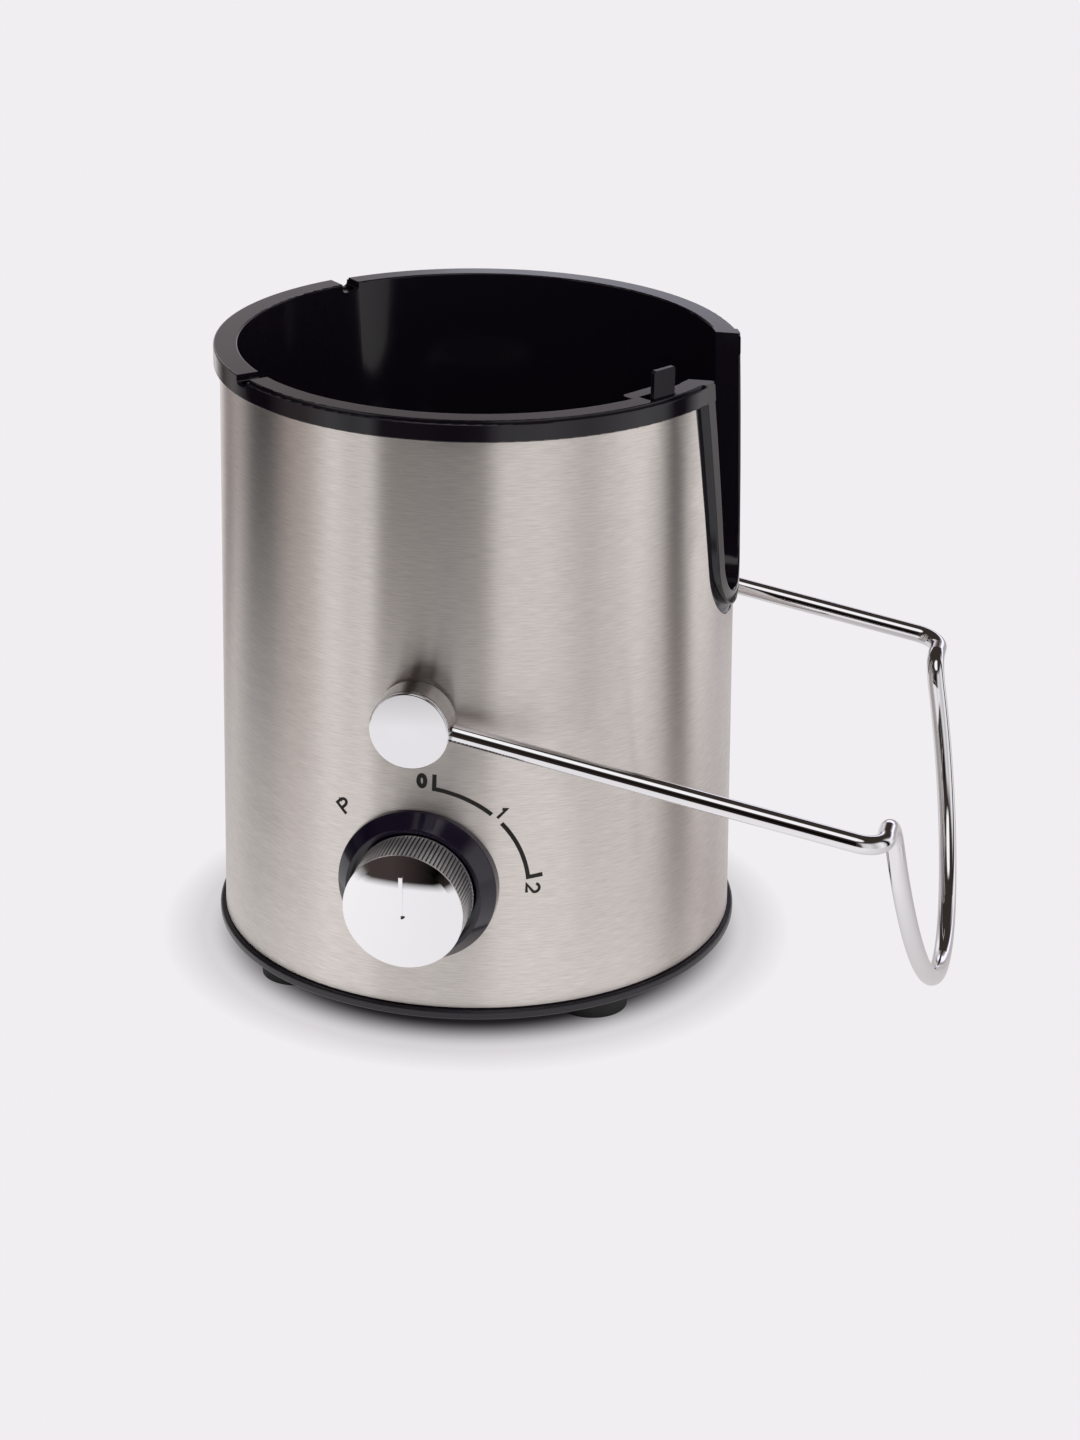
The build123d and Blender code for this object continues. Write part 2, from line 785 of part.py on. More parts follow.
def motor_grommets():
    """Rubber rings between the motor's lugs and the deck."""
    ring = tube(grommet_radius, mount_screw_radius + slide_fit, upper_cup_top, boss_low)
    return together(around(angle, ring, lug_circle) for angle in lug_angles)


def mount_screws():
    low = upper_cup_top - cup_plate
    high = boss_low + mount_screw_grip - cut_over
    one = screw(mount_screw_radius, low, high, mount_screw_head_radius, mount_screw_head)
    return together(around(angle, one, lug_circle) for angle in lug_angles)


def through_bolts():
    """Four long bolts that clamp the core between the two end brackets."""
    high = upper_cup_top - through_bolt_end - cut_over
    one = screw(through_bolt_radius, lower_cup_low, high, through_bolt_head_radius, through_bolt_head)
    return together(around(angle, one, through_bolt_circle) for angle in through_bolt_angles)


brush_inner = commutator_radius + brush_gap
holder_inner = brush_inner + holder_set_back
cap_inner = holder_outer - brush_cap


def brush_holders():
    """Square brass guide on each side, closed by a cap at its outer end."""
    half_width = brush_width / 2
    half_tall = brush_tall / 2
    guide = block(holder_inner, holder_outer, -half_width - holder_wall, half_width + holder_wall,
                  brush_height - half_tall - holder_wall, brush_height + half_tall + holder_wall)
    guide -= block(holder_inner - cut_over, cap_inner, -half_width - seat_fit, half_width + seat_fit,
                   brush_height - half_tall - seat_fit, brush_height + half_tall + seat_fit)
    return together([guide, Rot(0, 0, 180) * guide])


def carbon_brushes():
    brush = block(brush_inner, brush_inner + brush_length, -brush_width / 2, brush_width / 2,
                  brush_height - brush_tall / 2, brush_height + brush_tall / 2)
    return together([brush, Rot(0, 0, 180) * brush])


def coil_spring(radius, wire, length, turns):
    """Compression spring along +Z from the origin; its wire's ends lie inside its length."""
    path = Helix(pitch=(length - 2 * wire) / turns, height=length - 2 * wire, radius=radius)
    start = Plane(origin=path @ 0, z_dir=path % 0)
    return Pos(0, 0, wire) * sweep(start * Circle(wire), path=path)


def brush_springs():
    """Spring behind each brush."""
    length = cap_inner - brush_inner - brush_length
    spring = coil_spring(brush_spring_radius, spring_wire, length, spring_turns)
    toward_plus = Pos(brush_inner + brush_length, 0, brush_height) * Rot(0, 90, 0) * spring
    return together([toward_plus, Rot(0, 0, 180) * toward_plus])


# ------------------------------------------------------------------ motor, turning pieces
def motor_shaft():
    shaft = rod(shaft_radius, shaft_low, shaft_top)
    ends = shaft.edges().filter_by(GeomType.CIRCLE)
    return chamfer(ends, shaft_radius / 8)


def armature_core():
    radius = stator_bore - air_gap
    core = tube(radius, shaft_radius + seat_fit, stack_low, stack_high)
    half = armature_slot_width / 2
    slot = block(radius - armature_slot_depth, radius + cut_over, -half, half, stack_low, stack_high)
    return core - repeated(slot, armature_slots)


def armature_windings():
    """Copper in the core's slots, joined by a winding head at each end."""
    radius = stator_bore - air_gap
    low = stack_low - winding_overhang
    high = stack_high + winding_overhang
    crown = winding_overhang / 3
    heads = Part()
    for end, core_end in ((low, stack_low), (high, stack_high)):
        corners = [(winding_inner, end), (winding_outer, end)]
        heads += turned(*corners, (winding_outer, core_end), (winding_inner, core_end),
                        rounds=[(corner, crown) for corner in corners])
    half = armature_bar_width / 2
    inner = radius - armature_slot_depth + slide_fit
    bar = block(inner, radius - air_gap, -half, half, stack_low - cut_over, stack_high + cut_over)
    for index in range(armature_slots):
        heads += Rot(0, 0, index * 360 / armature_slots) * bar
    return heads


def commutator():
    """Copper bars on a sleeve that reaches up to the winding head."""
    bore = shaft_radius + seat_fit
    body = tube(commutator_radius, bore, commutator_low, commutator_high)
    half = commutator_groove / 2
    groove = block(commutator_radius - 2 * commutator_groove, commutator_radius + cut_over, -half, half,
                   commutator_low - cut_over, commutator_high + cut_over)
    body -= repeated(groove, commutator_bars)
    return body + tube(commutator_sleeve, bore, commutator_high, stack_low)


def cooling_fan():
    """Disc with straight blades on its upper side, turning inside the tray's shroud."""
    bore = shaft_radius + seat_fit
    high = fan_low + fan_plate + fan_blade_height
    fan = tube(fan_radius, bore, fan_low, fan_low + fan_plate)
    half = fan_blade_thickness / 2
    inner = fan_hub_radius - cut_over
    blade = block(inner, fan_radius - cut_over, -half, half, fan_low + fan_plate - cut_over, high)
    fan += repeated(blade, fan_blades)
    return fan + tube(fan_hub_radius, bore, fan_low, high)


def drive_coupling():
    """Lugged drive on the shaft's top, with a skirt over the deck's hub and a cup for the basket's hub."""
    bore = shaft_radius + seat_fit
    plate_top = coupling_low + coupling_plate
    skirt_in = coupling_skirt_radius - coupling_skirt_wall
    skirt_low = coupling_low - coupling_skirt_drop
    cup_floor = coupling_hub_top - drive_cup_depth
    body = turned(
        (bore, coupling_low), (skirt_in, coupling_low), (skirt_in, skirt_low),
        (coupling_skirt_radius, skirt_low), (coupling_skirt_radius, plate_top),
        (coupling_hub_radius, plate_top), (coupling_hub_radius, coupling_hub_top),
        (drive_cup_radius, coupling_hub_top), (drive_cup_radius, cup_floor), (0, cup_floor),
        (0, shaft_top), (bore, shaft_top),
        rounds=[((coupling_skirt_radius, plate_top), coupling_skirt_wall / 2),
                ((coupling_hub_radius, coupling_hub_top), coupling_round)])
    half = coupling_lug_width / 2
    lug = block(coupling_hub_radius - cut_over, coupling_hub_radius + coupling_lug_reach, -half, half,
                plate_top - cut_over, coupling_hub_top - coupling_round)
    upper_edges = lug.edges().group_by(Axis.Z)[-1].sort_by(Axis.X)[-1]
    lug = fillet(upper_edges, coupling_lug_reach / 3)
    return body + repeated(lug, coupling_lugs)


def shaft_seal():
    """Rubber seal in the hub, with a lip that runs just clear of the shaft."""
    lip = shaft_radius + seal_lip
    lip_low = hub_top - seal_lip_height
    neck = seal_radius - seal_neck
    outer = seal_radius - seat_fit
    return turned((neck, seal_floor), (outer, seal_floor), (outer, hub_top), (lip, hub_top), (lip, lip_low),
                  (neck, lip_low))


# ------------------------------------------------------------------ speed control
bezel_dish_floor = shell_radius(knob_height) + bezel_floor


def rotary_switch():
    """Switch body with a threaded bushing and three tags behind."""
    back = switch_face - switch_depth
    place = facing_front(knob_height)
    half = switch_width / 2
    body = block(-half, half, -half, half, back, switch_face)
    body = fillet(body.edges().filter_by(Axis.Z), ring_round * 2)
    body += rod(switch_bushing_radius, switch_face, knob_back)
    stem_back = switch_face - switch_shaft_seat
    body -= rod(switch_shaft_radius + running_fit, stem_back, knob_back + cut_over)
    for side in (-half / 2, 0, half / 2):
        body += block(side - tag_width / 2, side + tag_width / 2, -tag_thickness / 2, tag_thickness / 2,
                      back - tag_length, back + cut_over)
    return place * body


def bushing_nut():
    body = extrude(Pos(0, 0, bezel_dish_floor) * RegularPolygon(switch_nut_radius, 6), switch_nut)
    hole = rod(switch_bushing_radius + seat_fit, bezel_dish_floor - cut_over, knob_face)
    return facing_front(knob_height) * (body - hole)


def knob_bezel():
    """Convex ring round the knob, its back shaped to the shell and its front dished to clear the knob."""
    shell_out = shell_radius(knob_height)
    hole = switch_bushing_radius + slide_fit
    dish = knob_radius + bezel_recess_gap
    back = shell_radius_high - bezel_floor
    side = (bezel_radius, shell_out + bezel_lip)
    front = (bezel_front_radius, bezel_front)
    ring = turned((hole, back), (bezel_radius, back), side, front, (dish, bezel_front),
                  (dish, bezel_dish_floor), (hole, bezel_dish_floor),
                  rounds=[(side, bezel_lip * 2), (front, bezel_lip)])
    ring = facing_front(knob_height) * ring
    reach = bezel_radius + cut_over
    return ring - cone_inside(running_fit, knob_height - reach, knob_height + reach)


def switch_bracket():
    """Bent steel plate from the tray up to the switch, with a spacer against the shell."""
    half = bracket_width / 2
    front = switch_face + bracket_thickness
    high = knob_height + bracket_head
    plate = block(-half, half, -front, -switch_face, tray_top, high)
    plate += block(-half, half, -front, bracket_foot - front, tray_top, tray_top + bracket_thickness)
    place = facing_front(knob_height)
    spacer = place * rod(bracket_spacer_radius, switch_face, shell_radius_low)
    behind = -(shell_thickness + running_fit)
    plate += spacer & cone_inside(behind, knob_height - bracket_head, knob_height + bracket_head)
    return plate - place * rod(switch_bushing_radius + slide_fit, switch_face - cut_over, bezel_front)


switch_shaft_end = knob_face - 1.5 * knob_wall


def knob_outline():
    """Half section of the knob: a cup whose face is slightly domed inside a bevelled edge."""
    step = knob_radius - knob_face_edge
    edge_height = knob_face - knob_face_crown
    cavity_radius = knob_radius - knob_wall
    cavity_top = knob_face - knob_wall
    dome_radius = (step ** 2 + knob_face_crown ** 2) / (2 * knob_face_crown)
    half_turn = math.asin(step / dome_radius) / 2
    over_half = (dome_radius * math.sin(half_turn), 0, knob_face - dome_radius * (1 - math.cos(half_turn)))
    dome = ThreePointArc((step, 0, edge_height), over_half, (0, 0, knob_face))
    walls = Polyline((0, 0, knob_face), (0, 0, cavity_top), (cavity_radius, 0, cavity_top),
                     (cavity_radius, 0, knob_back), (knob_radius, 0, knob_back),
                     (knob_radius, 0, edge_height - knob_face_bevel), (step, 0, edge_height))
    return make_face([dome, walls])


def speed_knob():
    """Hollow knob: finely ribbed side, polished and slightly domed face, raised pointer."""
    cavity_top = knob_face - knob_wall
    hub_low = knob_back + apart
    body = revolve(knob_outline(), Axis.Z) + rod(knob_hub_radius, hub_low, cavity_top)
    half = pointer_width / 2
    rib = block(-half, half, 0, pointer_length, cavity_top, knob_face + pointer_proud)
    body += fillet(rib.edges().group_by(Axis.Z)[-1], pointer_proud / 2)
    ridge_top = knob_face - knob_face_crown - 2 * knob_face_bevel
    groove = Pos(knob_radius, 0, 0) * Rot(0, 0, 45) * block(
        -knurl_depth, knurl_depth, -knurl_depth, knurl_depth, knob_back + knurl_depth, ridge_top)
    body -= repeated(groove, knurl_count)
    body -= rod(switch_shaft_radius + seat_fit, hub_low - cut_over, switch_shaft_end)
    return facing_front(knob_height) * body


def switch_shaft():
    """Spindle of the rotary switch, pressed into the knob's hub."""
    back = switch_face - switch_shaft_seat + apart
    stem = rod(switch_shaft_radius, back, switch_shaft_end)
    return facing_front(knob_height) * stem


# ------------------------------------------------------------------ bail and its pivots
def bail_half_path(side):
    """Centre line of one side of the bail, from its socket round to the loop's far end.

    Drawn with the arm along +X; the loop hangs from its end, tilted outwards from square.
    """
    tilt = math.radians(loop_tilt)

    def on_arm(x, y):
        return Vector(x, side * y, 0)

    def in_loop(across, along):
        return Vector(bail_arm + along * math.sin(tilt), side * across, -along * math.cos(tilt))

    cut_corner = bail_bend * (1 - math.sqrt(0.5))
    arm_end = on_arm(bail_arm - bail_bend, bail_half_width)
    shoulder = on_arm(bail_arm, bail_half_width - bail_bend)
    shoulder_middle = on_arm(bail_arm - cut_corner, bail_half_width - cut_corner)
    elbow = on_arm(bail_arm, loop_half_width + bail_bend)
    elbow_middle = in_loop(loop_half_width + cut_corner, cut_corner)
    loop_start = in_loop(loop_half_width, bail_bend)

    end_centre = bail_bend + loop_flank
    flank_radius = ((loop_half_width ** 2 + loop_flank ** 2 - loop_end_radius ** 2)
                    / (2 * (loop_half_width - loop_end_radius)))
    flank_centre = loop_half_width - flank_radius
    join_turn = math.atan2(loop_flank, -flank_centre)

    def on_flank(turn):
        across = flank_centre + flank_radius * math.cos(turn)
        return in_loop(across, bail_bend + flank_radius * math.sin(turn))

    def on_end(turn):
        return in_loop(loop_end_radius * math.cos(turn), end_centre + loop_end_radius * math.sin(turn))

    return [
        Line(on_arm(wire_socket_bottom, bail_half_width), arm_end),
        ThreePointArc(arm_end, shoulder_middle, shoulder),
        Line(shoulder, elbow),
        ThreePointArc(elbow, elbow_middle, loop_start),
        ThreePointArc(loop_start, on_flank(join_turn / 2), on_flank(join_turn)),
        ThreePointArc(on_flank(join_turn), on_end((join_turn + math.pi / 2) / 2), on_end(math.pi / 2)),
    ]


def lowered(solid):
    """Swing a piece drawn with the arm along +X down to where the bail rests."""
    return Pos(0, 0, pivot_height) * Rot(0, bail_droop, 0) * solid


def bail_wire():
    """Steel wire from one pivot round the loop to the other."""
    solids = []
    for side in (-1, 1):
        path = Wire(bail_half_path(side))
        start = Plane(origin=path @ 0, z_dir=path % 0)
        solids.append(sweep(start * Circle(wire_radius), path=path))
    return lowered(solids[0] + solids[1])


def pivot_place(side):
    """Local Z runs outwards along the pivot, local X along the bail's arm."""
    return Plane(origin=(0, 0, 0), x_dir=(1, 0, 0), z_dir=(0, side, 0))


def pivot_boss(side):
    """Barrel that the wire is pressed into, with the spindle that turns in the bush."""
    barrel = turned((0, pivot_base), (pivot_boss_radius, pivot_base), (pivot_boss_radius, barrel_front),
                    (0, barrel_front), rounds=[((pivot_boss_radius, pivot_base), ring_round / 2),
                                               ((pivot_boss_radius, barrel_front), ring_round / 4)])
    barrel += rod(spindle_radius, spindle_end, pivot_base)
    barrel -= rod(pivot_screw_radius + seat_fit, spindle_end - cut_over, spindle_end + pivot_screw_grip)
    barrel -= Pos(wire_socket_bottom, 0, bail_half_width) * Rot(0, 90, 0) * Cylinder(
        wire_radius + seat_fit, pivot_boss_radius * 2, align=(Align.CENTER, Align.CENTER, Align.MIN))
    return lowered(pivot_place(side) * barrel)


def pivot_cap(side):
    """Polished disc on the barrel's end, standing off it by a thin groove."""
    neck = pivot_boss_radius - pivot_groove_depth
    cap = turned((0, barrel_front), (neck, barrel_front), (neck, cap_back), (pivot_boss_radius, cap_back),
                 (pivot_boss_radius, pivot_face), (0, pivot_face),
                 rounds=[((pivot_boss_radius, pivot_face), pivot_groove)])
    return lowered(pivot_place(side) * cap)


def pivot_washers():
    washer = tube(washer_radius, pivot_screw_radius + seat_fit, spindle_end - washer_thickness, spindle_end)
    return together(lowered(pivot_place(side) * washer) for side in (-1, 1))


def pivot_screws():
    """Screw into each spindle, holding its washer behind the bush."""
    low = spindle_end - washer_thickness
    high = spindle_end + pivot_screw_grip - cut_over
    one = screw(pivot_screw_radius, low, high, pivot_screw_head_radius, pivot_screw_head)
    return together(lowered(pivot_place(side) * one) for side in (-1, 1))


def pivot_bush(place):
    """Flanged bush that the bail's spindle turns in."""
    bore = spindle_radius + running_fit
    bush = tube(bush_radius, bore, bush_inner_end - bush_flange, pivot_base)
    bush += tube(bush_flange_radius, bore, bush_inner_end - bush_flange, bush_inner_end)
    return (place * bush) & cone_inside(-shell_thickness - slide_fit, apron_low - cut_over, deck_top)


# ------------------------------------------------------------------ lid interlock
def interlock_rod():
    """Tab above the rim, bridge over the wall, stem down the pocket and foot below the deck."""
    half_tab = tab_width / 2
    half_rod = rod_width / 2
    tab_inner = tab_outer - tab_thickness
    tab = block(tab_inner, tab_outer, -half_tab, half_tab, bridge_top, rim_top + tab_height)
    tab = fillet(tab.edges().filter_by(Axis.X).group_by(Axis.Z)[-1], tab_round)
    block_top = rim_top - rim_step_depth
    piece = tab + block(rod_block_inner, rod_bridge_outer, -half_tab, half_tab, bridge_low, block_top)
    piece += block(rod_inner, rod_bridge_outer, -half_rod, half_rod, bridge_low, bridge_top)
    foot_top = rod_foot_height + rod_foot
    piece += block(rod_inner, rod_outer, -half_rod, half_rod, rod_foot_height, bridge_top)
    half_foot = rod_foot_length / 2
    foot_outer = math.sqrt((chamber_radius_low - apart) ** 2 - half_foot ** 2)
    piece += block(rod_foot_inner, foot_outer, -half_foot, half_foot, rod_foot_height, foot_top)
    return around(tab_angle, piece)


micro_top = shelf_height + micro_height
button_low = micro_top - rod_travel


def micro_switch():
    """Small snap switch on the shelf, with a well for its button and three terminals."""
    half = micro_depth / 2
    left = micro_side - micro_length / 2
    body = block(-half, half, left, left + micro_length, shelf_height, micro_top)
    well_low = button_low - rod_travel - apart
    body -= Pos(0, micro_side, 0) * rod(micro_button_radius + apart, well_low, micro_top + cut_over)
    for step in (-1, 0, 1):
        side = micro_side + step * micro_length / 3
        body += block(-half - micro_pin_length, -half + cut_over, side - micro_pin, side + micro_pin,
                      shelf_height + micro_pin, shelf_height + 2 * micro_pin)
    return around(tab_angle, body, shelf_circle)


def micro_button():
    """Button of the interlock switch, moved by the rod's foot."""
    button = Pos(0, micro_side, 0) * rod(micro_button_radius, button_low, rod_foot_height)
    return around(tab_angle, button, shelf_circle)


def plunger_spring():
    """Return spring between the shelf and the interlock rod's foot."""
    spring = coil_spring(spring_radius, spring_wire, spring_length, spring_turns)
    return around(tab_angle, Pos(0, spring_side, shelf_height) * spring, shelf_circle)


# ------------------------------------------------------------------ wiring parts
def cord_gland():
    """Bush in the rear of the shell that the mains cord comes out of."""
    outside = shell_radius(gland_height)
    inner_end = outside - gland_reach
    inner_flange_end = outside - shell_thickness - slide_fit
    flange = rod(gland_flange_radius, inner_flange_end, outside + gland_flange)
    front = fillet(flange.edges().group_by(Axis.Z)[-1], gland_flange / 2)
    place = facing_rear(gland_height)
    reach = gland_flange_radius + cut_over
    gland = place * front - cone_inside(running_fit, gland_height - reach, gland_height + reach)
    gland += place * rod(gland_radius, inner_end, outside + gland_flange / 2)
    inner = place * rod(gland_inner_flange_radius, inner_end, outside)
    gland += inner & cone_inside(-shell_thickness - running_fit, gland_height - reach, gland_height + reach)
    return gland - place * rod(cord_bore, inner_end - cut_over, outside + gland_flange + cut_over)


def terminal_seats():
    """Centres of the terminal block's ways, along its length."""
    pitch = terminal_length / terminal_ways
    return [(index - (terminal_ways - 1) / 2) * pitch for index in range(terminal_ways)]


def terminal_block():
    half_length = terminal_length / 2
    half_width = terminal_width / 2
    middle = tray_top + terminal_tall / 2
    high = tray_top + terminal_tall
    body = block(-half_width, half_width, -half_length, half_length, tray_top, high)
    wire_hole = Rot(0, 90, 0) * Cylinder(terminal_screw_radius, terminal_width + cut_over)
    screw_hole = rod(terminal_screw_radius + seat_fit, middle, high + cut_over)
    for side in terminal_seats():
        body -= Pos(0, side, tray_top + terminal_tall / 3) * wire_hole
        body -= Pos(0, side, 0) * screw_hole
    return around(terminal_angle, body, terminal_circle)


def terminal_screws():
    """Clamp screws, sunk in the terminal block, with a slot across each head."""
    high = tray_top + terminal_tall - cut_over
    one = rod(terminal_screw_radius, tray_top + terminal_tall / 2, high)
    reach = terminal_screw_radius + cut_over
    half = tag_thickness / 2
    one -= block(-reach, reach, -half, half, high - tag_thickness, high + cut_over)
    row = together(Pos(0, side, 0) * one for side in terminal_seats())
    return around(terminal_angle, row, terminal_circle)


def suppression_capacitor():
    half_length = capacitor_length / 2
    half_width = capacitor_width / 2
    body = block(-half_width, half_width, -half_length, half_length, tray_top, tray_top + capacitor_tall)
    body = fillet(body.edges().filter_by(Axis.Z), clip_wall)
    return around(capacitor_angle, body, capacitor_circle)


def capacitor_clip():
    """Strip bent round the capacitor's foot."""
    high = tray_top + clip_tall

    def frame(margin):
        half_length = capacitor_length / 2 + margin
        half_width = capacitor_width / 2 + margin
        return block(-half_width, half_width, -half_length, half_length, tray_top, high)

    return around(capacitor_angle, frame(seat_fit + clip_wall) - frame(seat_fit), capacitor_circle)


# ------------------------------------------------------------------ pieces, one node each
pieces = {
    "outer_shell": outer_shell(),
    "chamber_liner": chamber_liner(),
    "base_tray": base_tray(),
    "base_screws": base_screws(),
    "stator": stator(),
    "field_windings": field_windings(),
    "upper_bracket": upper_bracket(),
    "lower_bracket": lower_bracket(),
    "upper_bearing": bearing(upper_bearing_low),
    "lower_bearing": bearing(lower_bearing_low),
    "motor_grommets": motor_grommets(),
    "mount_screws": mount_screws(),
    "through_bolts": through_bolts(),
    "brush_holders": brush_holders(),
    "carbon_brushes": carbon_brushes(),
    "brush_springs": brush_springs(),
    "motor_shaft": motor_shaft(),
    "armature_core": armature_core(),
    "armature_windings": armature_windings(),
    "commutator": commutator(),
    "cooling_fan": cooling_fan(),
    "drive_coupling": drive_coupling(),
    "shaft_seal": shaft_seal(),
    "rotary_switch": rotary_switch(),
    "switch_nut": bushing_nut(),
    "switch_bracket": switch_bracket(),
    "knob_bezel": knob_bezel(),
    "speed_knob": speed_knob(),
    "switch_shaft": switch_shaft(),
    "bail_wire": bail_wire(),
    "pivot_boss_front": pivot_boss(-1),
    "pivot_boss_rear": pivot_boss(1),
    "pivot_cap_front": pivot_cap(-1),
    "pivot_cap_rear": pivot_cap(1),
    "pivot_washers": pivot_washers(),
    "pivot_screws": pivot_screws(),
    "pivot_bush_front": pivot_bush(facing_front(pivot_height)),
    "pivot_bush_rear": pivot_bush(facing_rear(pivot_height)),
    "interlock_rod": interlock_rod(),
    "micro_button": micro_button(),
    "micro_switch": micro_switch(),
    "plunger_spring": plunger_spring(),
    "cord_gland": cord_gland(),
    "terminal_block": terminal_block(),
    "terminal_screws": terminal_screws(),
    "suppression_capacitor": suppression_capacitor(),
    "capacitor_clip": capacitor_clip(),
}
for name, angle in zip(foot_names, foot_angles):
    pieces[name] = foot(angle)

for name, piece in pieces.items():
    export_step(piece, os.path.join("parts", name + ".step"))
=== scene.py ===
import json
import math

import bmesh
import bpy
from mathutils import Matrix, Vector


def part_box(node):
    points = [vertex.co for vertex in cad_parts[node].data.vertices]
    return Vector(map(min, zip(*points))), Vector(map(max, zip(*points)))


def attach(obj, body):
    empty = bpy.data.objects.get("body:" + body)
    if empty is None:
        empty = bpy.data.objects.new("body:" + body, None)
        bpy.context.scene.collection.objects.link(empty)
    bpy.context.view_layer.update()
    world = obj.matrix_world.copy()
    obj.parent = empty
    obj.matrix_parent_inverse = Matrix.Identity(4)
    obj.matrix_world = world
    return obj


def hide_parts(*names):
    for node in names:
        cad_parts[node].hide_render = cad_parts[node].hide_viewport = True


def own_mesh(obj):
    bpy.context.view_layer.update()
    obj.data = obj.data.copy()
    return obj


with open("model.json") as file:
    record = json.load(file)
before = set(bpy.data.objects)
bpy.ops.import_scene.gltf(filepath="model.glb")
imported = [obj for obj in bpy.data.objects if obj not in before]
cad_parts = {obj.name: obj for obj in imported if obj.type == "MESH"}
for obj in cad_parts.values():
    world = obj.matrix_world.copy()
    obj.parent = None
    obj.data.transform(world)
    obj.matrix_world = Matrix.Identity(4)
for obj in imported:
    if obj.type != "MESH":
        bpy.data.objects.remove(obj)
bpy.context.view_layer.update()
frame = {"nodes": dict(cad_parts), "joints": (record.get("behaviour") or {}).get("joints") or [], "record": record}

MM = 0.001
NODES = frame["nodes"]

# ------------------------------------------------------------------ places read from the frame
SHELL_LOW, SHELL_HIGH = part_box("outer_shell")
KNOB_LOW, KNOB_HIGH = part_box("speed_knob")
JOINTS = {joint["name"]: joint for joint in frame["joints"]}
KNOB_Z = JOINTS["knob_turn"]["pos_m"][2]

# ------------------------------------------------------------------ camera
# Distance from the drive shaft and height in metres, angles in radians, lens and sensor in millimetres.
# The azimuth is the camera's bearing from the front, anticlockwise seen from above.
CAMERA_DISTANCE = 1.05362
CAMERA_HEIGHT = 0.52854
CAMERA_AZIMUTH = 0.22313
CAMERA_YAW = -0.02027
CAMERA_PITCH = 0.40546
CAMERA_ROLL = 0.01161
CAMERA_REACH = 20.0
LENS = 83.708
SENSOR = 36.0


def towards_camera():
    """Level direction from the drive shaft to the camera's side."""
    return Vector((math.sin(CAMERA_AZIMUTH), -math.cos(CAMERA_AZIMUTH), 0))


def add_camera():
    """Camera right of the front, looking down at the base."""
    heading = CAMERA_AZIMUTH + CAMERA_YAW
    level = Vector((math.cos(heading), math.sin(heading), 0))
    ahead = Vector((-math.sin(heading), math.cos(heading), 0))
    forward = ahead * math.cos(CAMERA_PITCH) - Vector((0, 0, math.sin(CAMERA_PITCH)))
    upright = level.cross(forward)
    right = level * math.cos(CAMERA_ROLL) + upright * math.sin(CAMERA_ROLL)
    up = upright * math.cos(CAMERA_ROLL) - level * math.sin(CAMERA_ROLL)
    data = bpy.data.cameras.new("camera")
    data.sensor_fit = "VERTICAL"
    data.sensor_height = SENSOR
    data.lens = LENS
    data.clip_end = CAMERA_REACH
    camera = bpy.data.objects.new("camera", data)
    turn = Matrix((right, up, -forward)).transposed()
    place = CAMERA_DISTANCE * towards_camera() + Vector((0, 0, CAMERA_HEIGHT))
    camera.matrix_world = Matrix.Translation(place) @ turn.to_4x4()
    bpy.context.scene.collection.objects.link(camera)
    bpy.context.scene.camera = camera


# ------------------------------------------------------------------ node helpers
BLACK = (0, 0, 0)
WHITE = (1, 1, 1)


class Graph:
    """Small helper that adds and links shader nodes."""

    def __init__(self, tree):
        self.tree = tree
        self.tree.nodes.clear()

    def set(self, socket, value):
        """Link another node's socket, or else set a plain value."""
        if isinstance(value, bpy.types.NodeSocket):
            self.tree.links.new(value, socket)
        else:
            socket.default_value = value

    def add(self, kind, inputs=None, **settings):
        node = self.tree.nodes.new(kind)
        for name, value in settings.items():
            setattr(node, name, value)
        for name, value in (inputs or {}).items():
            self.set(node.inputs[name], value)
        return node

    def math(self, operation, first, second=0.0, third=0.0):
        return self.add("ShaderNodeMath", {0: first, 1: second, 2: third}, operation=operation).outputs[0]

    def vector(self, operation, first, second):
        return self.add("ShaderNodeVectorMath", {0: first, 1: second}, operation=operation).outputs

    def length(self, vector):
        return self.add("ShaderNodeVectorMath", {0: vector}, operation="LENGTH").outputs["Value"]

    def mix(self, factor, first, second):
        inputs = {"Factor": factor, 6: first, 7: second}
        return self.add("ShaderNodeMix", inputs, data_type="RGBA").outputs[2]

    def spread(self, value, start, end, low=0.0, high=1.0, **settings):
        """Carry a value's range from start to end over to the range from low to high."""
        inputs = {"Value": value, "From Min": start, "From Max": end, "To Min": low, "To Max": high}
        return self.add("ShaderNodeMapRange", inputs, **settings).outputs[0]

    def ramp(self, factor, stops):
        node = self.add("ShaderNodeValToRGB", {0: factor})
        elements = node.color_ramp.elements
        while len(elements) < len(stops):
            elements.new(0.5)
        for element, (place, color) in zip(elements, stops):
            element.position = place
            element.color = (*color, 1)
        return node.outputs[0]

    def edge(self, factor, start, end):
        """Black up to start and white from end."""
        return self.ramp(factor, [(start, BLACK), (end, WHITE)])


def new_material(name):
    material = bpy.data.materials.new(name)
    material.use_nodes = True
    return material, Graph(material.node_tree)


def finish_surface(graph, shader):
    graph.add("ShaderNodeOutputMaterial", {"Surface": shader.outputs[0]})


def tinted(value, tint):
    return tuple(value * part for part in tint)


# ------------------------------------------------------------------ light, floor and background
BACKGROUND = (0.880, 0.855, 0.880)
